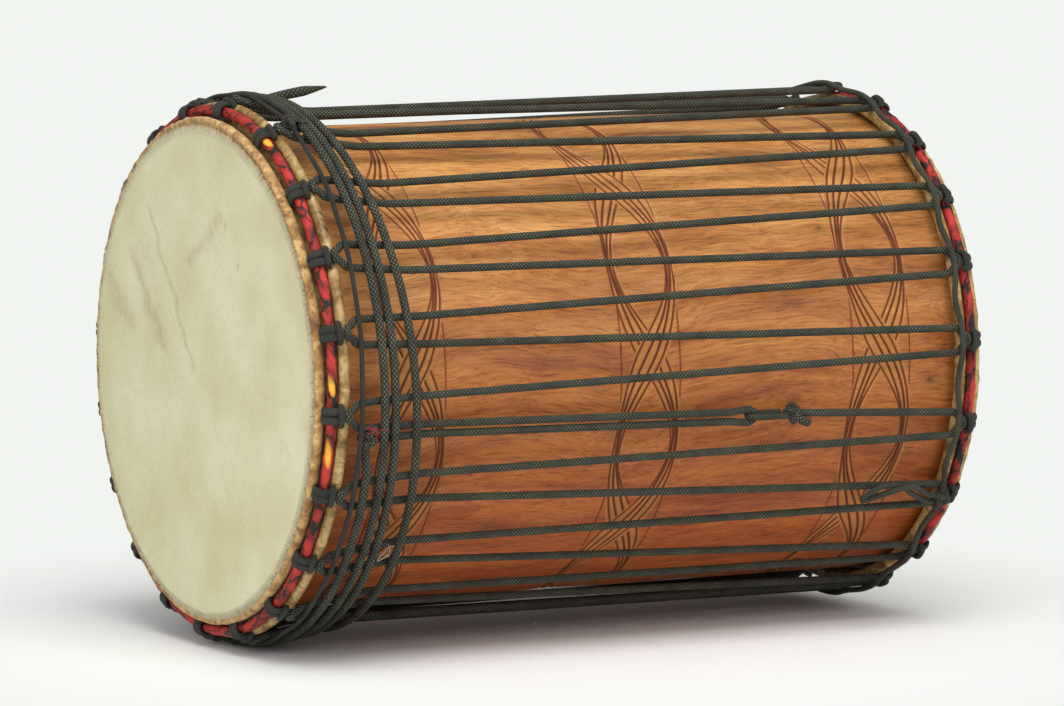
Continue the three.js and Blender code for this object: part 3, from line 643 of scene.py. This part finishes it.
def shell_columns():
    """Where along the shell its mesh has a ring of points: close together in the bands."""
    fine = [np.arange(middle - band_edge, middle + band_edge, 0.6) for middle in band_middles]
    rough = np.arange(-shell_half + 3, shell_half - 2.5, 1.5)
    far = np.all(np.abs(rough[:, None] - np.array(band_middles)) > band_edge + 0.7, axis=1)
    return np.sort(np.concatenate(fine + [rough[far]]))


def carve_shell():
    """The log, hollow and open at both ends, with its carved bands."""
    steps = 1200
    inner = shell_radius - shell_wall
    rim = [(shell_radius, shell_half - 2.0), (shell_radius - 0.6, shell_half - 0.6),
           (shell_radius - 2.0, shell_half), (shell_radius - 6.0, shell_half),
           (inner, shell_half - 8)]
    outline = [(r, -p) for r, p in reversed(rim)] + [(shell_radius, p) for p in shell_columns()]
    outline += rim + [(inner, 0.0)]
    outline.append(outline[0])
    outline = np.array(outline, float)
    deep = np.zeros((len(outline), steps))
    scraped = np.zeros((len(outline), steps))
    angles = np.arange(steps) * 360 / steps
    for middle in band_middles:
        rows = (np.abs(outline[:, 1] - middle) < band_edge + 2) & (outline[:, 0] > shell_radius - 0.01)
        place, angle = np.meshgrid(outline[rows, 1], angles, indexing="ij")
        deep[rows], scraped[rows] = carve_band(place, angle, middle)

    def shape(radius, place, angle):
        outside = radius > shell_radius - 0.01
        # The log is cut by hand, so its surface is a little uneven
        waves = np.sin(angle / 9 + place / 30) * np.sin(place / 45 + angle / 17)
        cut = hand_unevenness * (1 - waves) + gouge_depth * deep + scraped_depth * scraped
        return radius - outside * cut, place

    def values(radius, place, angle):
        spots = np.zeros_like(radius)
        for station, turn, size in wood_knots:
            along = (place - station) / 1.6
            round_way = ((angle - turn + 180) % 360 - 180) * math.radians(1) * shell_radius
            distance = np.hypot(along, round_way)
            core = 0.85 * np.exp(-(distance / size * 2) ** 2)
            spots = np.maximum(spots, np.maximum(core, 0.4 * np.exp(-(distance / size) ** 2)))
        return {"gouge": deep, "scraped": scraped, "knot": spots}

    dress(revolve("carved_shell", outline, steps, shape, values), wood, ["shell"])


carve_shell()

# Hides and rings

collar_outline = ((158.6, 242.4), (160.0, 243.2), (161.4, 243.7), (162.5, 243.4), (163.1, 242.4),
                  (163.3, 241.0), (163.2, 239.4), (162.8, 238.0), (161.9, 236.8), (160.0, 235.9))
roll_tuck, roll_tuck_turn = 1.2, 50
hair_edge = 157.6
hair_edge_drop = 2.9
fringe_width = 3.5
hair_lengths = (2.5, 6.0)
hair_half_width = 0.15
# The marks on the front head: their width, strength, and points across and up from the middle
head_marks = ((2.2, 0.4, ((79, 100), (66, 84), (56, 67), (36, 40), (23, 19), (13, 0))),
              (6.0, 0.45, ((100, 67), (90, 54), (82, 39), (64, 27), (57, 14))),
              (8.0, 0.34, ((146, 56), (132, 42), (117, 32), (104, 24))),
              (5.0, 0.36, ((-26, 101), (-10, 87), (0, 80), (12, 71))),
              (1.8, 0.5, ((-35, 97), (-36, 95))),
              (1.6, 0.5, ((-58, 73), (-58, 71))),
              (14.0, 0.14, ((84, 72), (60, 30), (40, -10))))


def marked(across, up):
    """How strongly a point of the head is marked, from 0 to 1."""
    wobble = 2.0 * np.sin(up / 7.0 + 1) + 1.2 * np.sin(up / 3.1)
    total = np.zeros_like(across)
    for width, strength, places in head_marks:
        places = np.array(places, float)
        for a, b in zip(places[:-1], places[1:]):
            run = b - a
            aside, above = across + wobble - a[0], up - a[1]
            share = np.clip((aside * run[0] + above * run[1]) / (run @ run), 0, 1)
            away = np.hypot(aside - share * run[0], above - share * run[1])
            total = np.maximum(total, strength * np.exp(-(away / width) ** 2))
    return total


def hair_boundary(angle, ragged):
    """How far out the hair reaches, along the skin. Its edge sits lower at the top of the drum."""
    return hair_edge - hair_edge_drop * np.clip(np.cos(np.radians(angle)), 0, 1) ** 2 + 0.7 * ragged


def hide_piece(end, stem_tilt, roll_end, stem_rise, seed):
    """A hide: the hairy head, the shaved collar, the side, and the roll round its flesh ring."""
    steps = 720
    flesh = end.flesh
    rim_turns = np.linspace(0, math.pi / 2, 7)
    rim = [(hide_radius - head_round + head_round * math.sin(t),
            head_station - head_round + head_round * math.cos(t)) for t in rim_turns]
    flat = np.concatenate([[0.01], np.arange(3, 150, 2.0), np.arange(150, 155, 0.8)])
    head = [(r, head_station) for r in flat] + rim
    reach = np.concatenate([flat, hide_radius - head_round + head_round * rim_turns])
    collar = list(collar_outline)
    side_wall = [(hide_radius, p) for p in np.linspace(235.3, flesh[1] + stem_rise, 4)]
    roll = [polar(flesh, roll_radius, t) for t in np.linspace(stem_tilt, roll_end, 26)]
    roll += [polar(flesh, roll_radius - roll_tuck, t)
             for t in np.linspace(roll_end, roll_end - roll_tuck_turn, 4)]
    outline = np.array(head + collar + side_wall + [tuple(p) for p in roll])
    outline[:, 1] *= end.side
    collar_rows = slice(len(head), len(head) + len(collar))
    roll_rows = slice(len(head) + len(collar) + len(side_wall), None)
    ragged = wave_noise(steps, (3, 5, 9, 14, 22, 37, 61), seed)
    crease = wave_noise(steps, (7, 19, 43, 71, 97), seed + 1)
    lumpy = wave_noise(steps, (4, 11, 23, 47, 83), seed + 2)

    def shape(radius, place, angle):
        lift = np.sin(np.linspace(0, math.pi, len(collar)))[:, None]
        furrow = np.sin(np.linspace(0, 9, len(collar)))[:, None] * lumpy[None, :]
        radius[collar_rows] += lift * (0.5 * ragged + 0.6 * crease + 0.6 * furrow)
        place[collar_rows] += end.side * lift * (0.6 * crease)[None, :]
        drop = end.lean * np.cos(np.radians(angle[roll_rows]))
        out = radius[roll_rows] - flesh[0]
        along = place[roll_rows] - end.side * flesh[1]
        grow = 1 + (0.06 * lumpy + 0.05 * crease)[None, :] * (out > -2.5)
        radius[roll_rows] = flesh[0] + out * grow
        place[roll_rows] = end.side * (flesh[1] - drop) + along * grow
        return radius, place

    def values(radius, place, angle):
        shaved = np.ones_like(radius)
        edge = hair_boundary(angle[0], ragged + 0.5 * crease)
        shaved[:len(head)] = np.clip((reach[:, None] - edge[None, :]) / 0.9 + 0.5, 0, 1)
        turn = np.radians(angle)
        mark = marked(radius * np.sin(turn), radius * np.cos(turn)) * (end.side < 0)
        return {"shaved": shaved, "mark": mark}

    piece = revolve(f"{end.name}_goatskin", outline, steps, shape, values)
    piece.data.materials.append(skin)
    piece.data.materials.append(roll_skin)
    rows = np.arange(len(piece.data.polygons)) // steps
    rolled = (rows >= roll_rows.start - 1).astype(np.int32)
    piece.data.polygons.foreach_set("material_index", rolled)
    dress(piece, None, [f"{end.name}_head"])


hide_piece(front, stem_tilt=-80, roll_end=235, stem_rise=2.1, seed=11)
hide_piece(rear, stem_tilt=-30, roll_end=240, stem_rise=5.4, seed=31)


def hair_piece(end, count, seed):
    """Short hairs: a fringe that leans out over the shaved collar."""
    rng = np.random.default_rng(seed)
    angle = rng.uniform(0, 360, count)
    edge = hair_boundary(angle, rng.uniform(-0.6, 0.6, count))
    reach = edge - fringe_width * rng.uniform(0, 1, count) ** 2
    over = np.clip((reach - (hide_radius - head_round)) / head_round, 0, math.pi / 2)
    radius = np.where(over > 0, hide_radius - head_round + head_round * np.sin(over), reach)
    station = head_station + 0.05 - head_round * (1 - np.cos(over))
    root = drum_point(end.side * station, radius, angle)
    heading = out_of(angle) * 1.3 + rng.normal(0, 0.35, (count, 3))
    heading[:, 0] = end.side * (rng.uniform(0.02, 0.12, count) - 0.35 * np.sin(over))
    heading = unit(heading)
    length = rng.uniform(*hair_lengths, count)[:, None]
    across = unit(np.cross(heading, along_drum)) * hair_half_width
    middle = root + heading * length * 0.5
    tip = root + heading * length
    tip[:, 0] -= end.side * 0.5
    points = np.stack([root - across, root + across, middle + across * 0.8, middle - across * 0.8,
                       tip + across * 0.2, tip - across * 0.2], axis=1).reshape(-1, 3)
    base = np.arange(count)[:, None] * 6
    quads = np.vstack([base + np.array([0, 1, 2, 3]), base + np.array([3, 2, 4, 5])])
    dress(make_mesh(f"{end.name}_hair", points, quads), hair, [])


hair_piece(front, count=8500, seed=3)
hair_piece(rear, count=12000, seed=4)


# The yellow leaves on the front ring's cloth: their angle and half length
leaves = ((-88.0, 6.5), (-102.5, 9.0), (-27.0, 5.5), (60.0, 7.0), (150.0, 6.0))
leaf_tilt = 52.0
leaf_half_width = 2.3


def bound_ring(end, seed):
    """Cotton strips wound round a crown ring, each overlapping the last."""
    steps, sides = 1100, 24
    strip = 30.0
    angle = np.arange(steps) * 360 / steps
    turn = np.arange(sides) * 2 * math.pi / sides
    girth = 2 * math.pi * cloth_radius
    length = 2 * math.pi * end.crown[0]
    strips = round(length / strip)
    wind = (angle[:, None] / 360 * strips + turn[None, :] / (2 * math.pi)) % 1
    crumple = wave_noise(steps, (13, 29, 57, 91, 133), seed)[:, None]
    fold = wave_noise(sides, (2, 3, 5), seed + 1)[None, :]
    radius = cloth_radius - 0.4 + 0.5 * wind ** 3 + 0.35 * crumple * fold + 0.12 * crumple
    section = np.array([end.crown[0] + radius * np.sin(turn)[None, :],
                        end.crown[1] + radius * np.cos(turn)[None, :]])
    points = end.put(section, angle[:, None]).reshape(-1, 3)
    quads, corners = grid_quads(steps, sides, close_rows=True)
    if end.side < 0:
        quads, corners = quads[:, ::-1], corners[:, ::-1]
    uvs = np.stack([corners[..., 1] * girth / sides, corners[..., 0] * length / steps], axis=-1)
    # The strip winds slantwise, and so does its print
    uvs[..., 1] += uvs[..., 0] * 0.5
    leaf = np.zeros((steps, sides))
    for leaf_angle, half_length in leaves if end.side < 0 else ():
        along = ((angle - leaf_angle + 180) % 360 - 180) * length / 360 / half_length
        across = ((np.degrees(turn) - leaf_tilt + 180) % 360 - 180) * girth / 360 / leaf_half_width
        far = along[:, None] ** 2 + (across[None, :] + 0.5 * along[:, None]) ** 2
        leaf = np.maximum(leaf, np.exp(-0.6 * far))
    piece = make_mesh(f"{end.name}_bound_ring", points, quads, uvs, {"leaf": leaf})
    dress(piece, cloth, [f"{end.name}_crown_cloth"])


bound_ring(front, 21)
bound_ring(rear, 23)

# Hitched loops

hitch_fit = 0.15
hitch_half = 2.75
strand_wide = 1.5
strand_thin = 0.86
hitch_step_turn, hitch_close_turn, hitch_past_bar = 36, 15, 8
bar_half = 4.9
bar_lift = 0.9
bar_dip = 2.0


def hitch_piece(end, index, steps, rng):
    """Two strands pressed flat over the crown ring, and the bar that crosses them."""
    angle = end.loop_angle(index)
    wrap = cloth_radius + hitch_fit + loop_rope * strand_thin
    last = end.bar_tilt + hitch_past_bar
    first = end.bar_tilt - hitch_step_turn * steps - hitch_close_turn
    rim_way = along_rim(angle)
    strands = []
    for way in (1, -1):
        shift = rng.uniform(-0.35, 0.35)
        half = way * hitch_half * rng.uniform(0.94, 1.04)
        spread = np.linspace(0.82, 1, 14)
        route = [end.put(polar(end.crown, wrap, tilt), angle, half * grow + shift)
                 for tilt, grow in zip(np.linspace(first, last, 14), spread)]
        strands.append({"points": route, "radius": loop_rope, "sides": 14,
                        "press": (strand_wide, strand_thin, rim_way)})
    slant = rng.uniform(-5, 5)
    lifted = wrap + loop_rope * strand_thin + bar_lift
    bar = [(-1.22, -bar_dip, 24), (-1.12, -0.8, 9), (-0.85, 0, 0), (0, 0.25, 0), (0.85, 0, 0),
           (1.12, -0.8, 9), (1.22, -bar_dip, 24)]
    route = [end.put(polar(end.crown, lifted + rise, end.bar_tilt + back + slant * along), angle,
                     bar_half * along) for along, rise, back in bar]
    strands.append({"points": bend(route, 2.0, step=1.5), "radius": loop_rope * 1.13, "sides": 14})
    number = f"{index + 1:02d}"
    rope_piece(f"{end.name}_hitch_{number}", strands, smooth_cord, [f"{end.name}_loop_{number}"])


rng = np.random.default_rng(15)
for end, steps in ((front, 4), (rear, 2)):
    for index in range(loop_count):
        hitch_piece(end, index, steps, rng)

# Reference ropes, lacing and knots

# Between its loops the rear reference rope slips back towards the middle
rear_slack = np.array([-1.6, -3.2])


def chain_route(end):
    """A reference rope's way round its end, over the lacing at each loop."""
    points = []
    for i in range(loop_count):
        angle = end.loop_angle(i)
        points.append(end.put(end.chain_at, angle, end.side * base_half))
        points.append(end.put(end.chain_at, angle, -end.side * base_half))
        if end is rear:
            halfway = (angle + end.loop_angle(i + 1)) / 2
            points.append(end.put(end.chain_at + rear_slack, halfway))
    return bend(points, 7.0, closed=True, step=5.0)


for end in (front, rear):
    rope_piece(f"{end.name}_reference_rope",
               [{"points": chain_route(end), "radius": end.chain, "closed": True}],
               smooth_cord if end is front else cord, [f"{end.name}_chain_rope"])

first_front = front.loop_angle(-start_loop) - front.base_turn
first_rear = rear.loop_angle(start_loop) + rear.base_turn


def span_angle(front_angle, rear_angle, place):
    """A span's angle at a place along X, from its angles at the two ends."""
    share = (place + front.base[1]) / (front.base[1] + rear.base[1])
    return front_angle + (rear_angle - front_angle) * share


def front_span_radius(station):
    """A span's radius near the front loops, where it climbs to them."""
    climb_end = front.base[1] - front.lean
    return np.interp(station, (span_station, pressed_station, climb_end),
                     (span_radius, pressed_radius, front.base[0]))


def pressed_points(front_angle, rear_angle):
    """Where a span bends, because the spare rope holds it off the shell."""
    return [drum_point(-station, radius, span_angle(front_angle, rear_angle, -station))
            for station, radius in ((pressed_station, pressed_radius), (span_station, span_radius))]


eye_station = 72.0
eye_length = 22.0
eye_knot_length = 12.0
return_half = 4.9
return_gap = 3.1
return_flare = 12.0
eye_angle = span_angle(first_front, first_rear, eye_station)
eye_knot_place = eye_station + eye_length
tie_angle = -99.9
tie_station = 211.7
tie_length = 10.0
tie_radius = 4.8
tie_knot = drum_point(-tie_station, front_span_radius(tie_station), tie_angle)
tie_way = unit(tie_knot - drum_point(-pressed_station, pressed_radius, tie_angle))


def lacing_route():
    """From the eye's knot through all loops, back through the eye and to the tie-off knot."""
    points = [drum_point(eye_knot_place + eye_knot_length + fit, span_radius, eye_angle)]
    for i in range(loop_count):
        rear_angle = rear.loop_angle(start_loop + i)
        front_angle = front.loop_angle(-start_loop - 1 - i)
        onward = rear.loop_angle(start_loop + i + 1) + rear.base_turn
        points += rear.lacing_turn(rear_angle)
        points += pressed_points(front_angle + front.base_turn, rear_angle - rear.base_turn)[::-1]
        points += front.lacing_turn(front_angle)
        points += pressed_points(front_angle - front.base_turn, onward)
    points += [drum_point(eye_station + at, span_radius, eye_angle, along) for at, along in (
        (-return_half - return_flare, return_gap), (-return_half, return_half),
        (0, return_half / 2), (0, -return_half / 2), (-return_half, -return_half),
        (-return_half - return_flare, -return_gap))]
    points += [drum_point(-span_station, span_radius, tie_angle),
               drum_point(-pressed_station, pressed_radius, tie_angle),
               tie_knot - tie_way * (tie_length / 2 + fit)]
    return bend(points, 6.0, step=8.0)


rope_piece("lacing", [{"points": lacing_route(), "radius": lacing}], cord, ["lacing_rope"])

eye_reach = lacing + rope_fit + eye_rope
eye_bow = eye_reach * math.sqrt(0.5)
eye_points = [drum_point(at, span_radius + rise, eye_angle) for at, rise in (
    (eye_knot_place - fit, eye_reach), (eye_station, eye_reach),
    (eye_station - eye_bow, eye_bow), (eye_station - eye_reach, 0),
    (eye_station - eye_bow, -eye_bow), (eye_station, -eye_reach),
    (eye_knot_place - fit, -eye_reach))]
rope_piece("starting_eye", [{"points": bend(eye_points, 3.0, step=3.0), "radius": eye_rope}], cord,
           ["lacing_eye"])


def tight_knot(centre, facing, long_way, size, rope):
    """An overhand knot drawn tight. Its size is half its length, width and depth."""
    facing = unit(facing)
    long_way = unit(long_way - facing * np.dot(long_way, facing))
    wide_way = np.cross(facing, long_way)
    half_length, half_width, half_depth = (half - rope for half in size)
    t = np.arange(60) * 2 * math.pi / 60
    points = (centre + np.outer((np.cos(t) - 2 * np.cos(2 * t)) / 3 * half_length, long_way)
              + np.outer((np.sin(t) + 2 * np.sin(2 * t)) / 3 * half_width, wide_way)
              + np.outer(-np.sin(3 * t) * half_depth, facing))
    return {"points": points, "radius": rope, "closed": True}


def knot_piece(name, node, centre, angle, slant, size, rope, stub=(), stub_rope=0.0):
    """A tight knot and the stub of rope that it leaves. The stub's points are shifts from the
    knot's middle: out of the drum, along its rim and along its axis."""
    outward = out_of(angle)
    rim_way = along_rim(angle)
    strands = [tight_knot(centre, outward, rim_way + slant * along_drum, size, rope)]
    if stub:
        route = [centre + outward * out + rim_way * aside + along_drum * ahead
                 for out, aside, ahead in stub]
        strands.append({"points": bend(route, 3.0, step=1.5), "radius": stub_rope})
    rope_piece(name, strands, cord, [node])


eye_knot = drum_point(eye_knot_place + eye_knot_length / 2, span_radius, eye_angle)
knot_piece("starting_knot", "lacing_eye_knot", eye_knot, eye_angle, slant=-0.4,
           size=(7.6, 6.2, 4.9), rope=2.2,
           stub=((2.5, 0, 1), (2.8, -3.5, 5), (1.4, -6.5, 12.5)), stub_rope=2.9)
knot_piece("tie_off_knot", "lacing_tie_knot", tie_knot, tie_angle, slant=0.2,
           size=(7.4, 6.2, 5.2), rope=2.3,
           stub=((1, -4, 0), (2.2, 5.5, 2), (1, 8, 5.5)), stub_rope=2.2)

# The reference ropes are knotted over these loops
front_knot_loop, rear_knot_loop = 18, 7
chain_knot_rise = np.array([1.3, 0])
front_knot_angle = front.loop_angle(front_knot_loop)
front_knot = front.put(front.chain_at + chain_knot_rise, front_knot_angle)
knot_piece("front_reference_knot", "front_chain_knot", front_knot, front_knot_angle, slant=0,
           size=(6.6, 5.6, 4.6), rope=1.9, stub=((1.5, 3, 0), (0, 4, 5), (0, -1, 9)),
           stub_rope=1.9)
rear_knot_angle = rear.loop_angle(rear_knot_loop)
rear_knot = rear.put(rear.chain_at + chain_knot_rise, rear_knot_angle)
knot_piece("rear_reference_knot", "rear_chain_knot", rear_knot, rear_knot_angle, slant=0,
           size=(7.2, 6.0, 4.8), rope=2.1)

# The spare rope, wound round the front end over the lacing, with its free tail

spare = 2.5
wound_shares = (0, 0.053, 0.053, 0.064, 0.255, 0.309, 0.206, 0.206, 0.432, 0.521, 0.362, 0.355,
                0.811, 0.936, 0.596, 0.489)
wound_turns = 3.68
wound_steps = 56
wound_first_station = 212.0
wound_spread = 47.0
wound_rise_angle = 6.0
tail_length = 44.0
tail_rise = 7.0
tail_bend = 5.0
tail_taper = 17.0
tail_points = 40


def spare_rope():
    """From the tie-off knot round and round the front end, to the free tail on top."""
    run = front.base[1] - pressed_station
    lift = (lacing + spare + rope_fit) * math.hypot(run, front.base[0] - pressed_radius) / run
    exit_shift = tie_radius + fit
    knot_radius = front_span_radius(tie_station)
    steps = round(wound_turns * wound_steps)
    turns = np.arange(steps + 1) / wound_steps
    share = np.interp(turns * 4, np.arange(len(wound_shares)), wound_shares)
    # The rope can't turn sharply, so its way across the drum is evened out
    window = np.ones(9) / 9
    share[4:-4] = np.convolve(share, window, "valid")
    station = wound_first_station - wound_spread * share
    coil = drum_point(-station, front_span_radius(station) + lift,
                      tie_angle - wound_rise_angle - 360 * turns)
    start = [drum_point(-tie_station, knot_radius, tie_angle, -exit_shift),
             drum_point(-tie_station, knot_radius, tie_angle, -exit_shift - 2 * spare)]
    root = coil[-1]
    turn_out = root + unit(root - coil[-2]) * tail_bend + along_drum * tail_bend / 2
    tail = [turn_out, turn_out + np.array([tail_bend, 0, tail_bend / 4]),
            turn_out + np.array([tail_length * 0.55, -0.6, tail_rise * 0.62]),
            turn_out + np.array([tail_length, 0, tail_rise])]
    route = bend(np.vstack([start, coil, tail]), 4.0, step=4.0)
    to_tip = np.linalg.norm(route - route[-1], axis=1)
    in_tail = np.arange(len(route)) > len(route) - tail_points
    on_tail = in_tail & (to_tip < tail_length)
    radii = np.full(len(route), spare)
    radii[on_tail] *= 1 + 0.22 * np.sin(np.clip(to_tip[on_tail] / tail_length, 0, 1) * math.pi)
    tapered = in_tail & (to_tip < tail_taper)
    radii[tapered] *= 0.16 + 0.84 * (to_tip[tapered] / tail_taper) ** 0.75
    # On the drum it is pressed flat against the lacing, and its tail stands on edge
    ways = np.where(on_tail[:, None], np.array([0, 0, 1.0]), along_drum)
    return {"points": route, "radius": radii, "sides": 14, "press": (1.1, 0.97, ways)}


rope_piece("wound_spare_rope", [spare_rope()], cord, ["spare_rope_winding"])

slip_reach = 52.0
slip_swing = 14.0
slip_half = 2.6
slip_rise = 0.4
slip_shares = np.array([[0.265, 0.39], [0.42, 0.79], [0.6, 1], [0.82, 0.79], [1, 0.36]])
# The two strands cross once: how far apart they are, and how far one lifts over the other
slip_spread = np.array([1, 1.1, 0, -1.25, -1])
slip_lift = np.array([0, 1.5, 4.0, 1.5, 0])
chain_knot_radius = 5.1


def slip_end_route():
    """The rear reference rope's doubled end, which crosses a strand of the lacing and back."""
    root = rear.chain_at[1] - chain_knot_radius - fit
    over = rear.base[0] + lacing + rear.chain + rope_fit + slip_rise
    middle = np.stack([root - slip_reach * slip_shares[:, 0], slip_swing * slip_shares[:, 1]], axis=1)
    ahead = unit(np.gradient(middle, axis=0))

    def put(place, shift):
        return drum_point(place, over, rear_knot_angle, shift)

    def strand(way):
        apart = way * slip_half * slip_spread
        shift = middle[:, 1] - apart * ahead[:, 0]
        place = middle[:, 0] + apart * ahead[:, 1]
        lift = slip_lift if way > 0 else np.zeros(len(slip_lift))
        return [put(at, aside) + out_of(rear_knot_angle) * rise
                for at, aside, rise in zip(place, shift, lift)]

    def leaving(way):
        return [put(root - gap, way * slip_half) for gap in (0, 2 * rear.chain)]

    bight = put(middle[-1][0] - 2 * slip_half, middle[-1][1] - slip_half)
    points = leaving(1) + strand(1) + [bight] + strand(-1)[::-1] + leaving(-1)[::-1]
    return bend(points, 6.0, step=3.0)


rope_piece("rear_slip_bight", [{"points": slip_end_route(), "radius": rear.chain}], cord,
           ["rear_slip_end"])


thread_radius, thread_step, thread_steps = 0.2, 2.4, 7


def thread_piece(name, start, spread, count, heading, material, seed):
    """A wisp of loose threads, caught under a rope."""
    rng = np.random.default_rng(seed)
    strands = []
    for _ in range(count):
        points = [start + rng.uniform(-1, 1, 3) * spread]
        way = np.array(heading, float) + rng.uniform(-0.5, 0.5, 3)
        for _ in range(thread_steps):
            way += rng.normal(0, 0.45, 3)
            points.append(points[-1] + unit(way) * thread_step)
        strands.append({"points": np.array(points), "radius": thread_radius, "sides": 5})
    rope_piece(name, strands, material, [])


thread_piece("red_threads", drum_point(-217, 180.5, -97), spread=2.0, count=5,
             heading=(0.8, -0.7, 0.5), material=thread, seed=5)
thread_piece("pale_threads", drum_point(-190, 178.5, -128), spread=1.0, count=2,
             heading=(0.6, -0.6, 0.8), material=pale_thread, seed=6)

# Floor, lights and camera

photo_width = 1064
photo_focal = 6366.5
view_turn = math.radians(-28.56)
view_rise = math.radians(5.63)
view_distance = 4.2043
view_right_shift = -0.0021
view_up_shift = 0.00035
stage_reach = 9.0
sweep_radius = 0.6
backdrop_top = 1.8
white_from, white_to = 0.22, 0.52
lamp_aim = Vector((0, 0, 0.18))


def lay_stage():
    """A pale round sheet that covers the floor and sweeps up far off, behind any camera. Away
    from the drum it is plain white."""
    steps = 48
    outline = [(0.001, 0.0), (stage_reach, 0.0)]
    outline += [(stage_reach + sweep_radius * math.sin(t), sweep_radius * (1 - math.cos(t)))
                for t in np.linspace(0.2, math.pi / 2, 8)]
    outline.append((stage_reach + sweep_radius, backdrop_top))
    points = np.array([(reach * math.cos(turn), reach * math.sin(turn), height)
                       for reach, height in outline
                       for turn in np.arange(steps) * 2 * math.pi / steps])
    quads, _ = grid_quads(len(outline), steps)
    sheet = make_mesh("studio_sweep", (points - np.array(drum_middle)) * 1000, quads)
    # Matt paper, whose fibres only just show
    finish = Finish("pale_paper", 0.9)
    place = finish.add("TexCoord", out="Object")
    paper = finish.add("TexNoise", {"Vector": place, "Scale": 300.0})
    tone = finish.add("ValToRGB", {"Fac": paper}, [(0.3, "#ebebea"), (0.7, "#efefee")])
    finish.tree.links.new(tone, finish.shader.inputs["Base Color"])
    far = finish.add("VectorMath", {0: place}, out="Value", operation="LENGTH")
    white = finish.add("MapRange", {"Value": far, "From Min": white_from, "From Max": white_to})
    seen = path = finish.add("LightPath", out="Is Camera Ray")
    for ray in ("Is Glossy Ray", "Is Transmission Ray"):
        seen = finish.add("Math", {0: seen, 1: path.node.outputs[ray]}, operation="MAXIMUM")
    share = finish.add("Math", {0: seen, 1: white}, operation="MULTIPLY")
    glow = finish.add("Emission", {"Color": colour("#f1f4f0"), "Strength": 1.0})
    both = finish.add("MixShader", {0: share, 1: finish.shader.outputs[0], 2: glow})
    finish.tree.links.new(both, finish.tree.nodes["Material Output"].inputs["Surface"])
    sheet.data.materials.append(finish.material)


def add_lamp(name, place, size, power):
    """A square softbox that faces the drum's middle."""
    data = bpy.data.lights.new(name, "AREA")
    data.shape = "SQUARE"
    data.size = size
    data.energy = power
    lamp = bpy.data.objects.new(name, data)
    lamp.location = place
    lamp.rotation_euler = (lamp_aim - Vector(place)).to_track_quat("-Z", "Y").to_euler()
    bpy.context.scene.collection.objects.link(lamp)


def set_camera():
    """The camera at the photo's angle, with the photo's frame."""
    right = Vector((math.cos(view_turn), math.sin(view_turn), 0))
    back = Vector((math.sin(view_turn) * math.cos(view_rise),
                   -math.cos(view_turn) * math.cos(view_rise), math.sin(view_rise)))
    lens = bpy.data.cameras.new("camera")
    lens.sensor_width = 36
    lens.lens = photo_focal / photo_width * lens.sensor_width
    camera = bpy.data.objects.new("camera", lens)
    camera.location = (drum_middle + back * view_distance + right * view_right_shift
                       + back.cross(right) * view_up_shift)
    camera.rotation_mode = "QUATERNION"
    camera.rotation_quaternion = (-back).to_track_quat("-Z", "Y")
    bpy.context.scene.collection.objects.link(camera)
    bpy.context.scene.camera = camera


lay_stage()
add_lamp("overhead_softbox", (-0.4, -1.1, 2.5), size=1.8, power=60)
add_lamp("left_softbox", (-2.6, -1.6, 1.3), size=1.6, power=26)
add_lamp("front_fill", (1.4, -3.0, 1.4), size=1.8, power=24)
set_camera()

world = bpy.data.worlds.new("studio")
world.use_nodes = True
world.node_tree.nodes["Background"].inputs["Color"].default_value = (1, 1, 1, 1)
world.node_tree.nodes["Background"].inputs["Strength"].default_value = 0.36
bpy.context.scene.world = world
bpy.context.scene.view_settings.view_transform = "Standard"
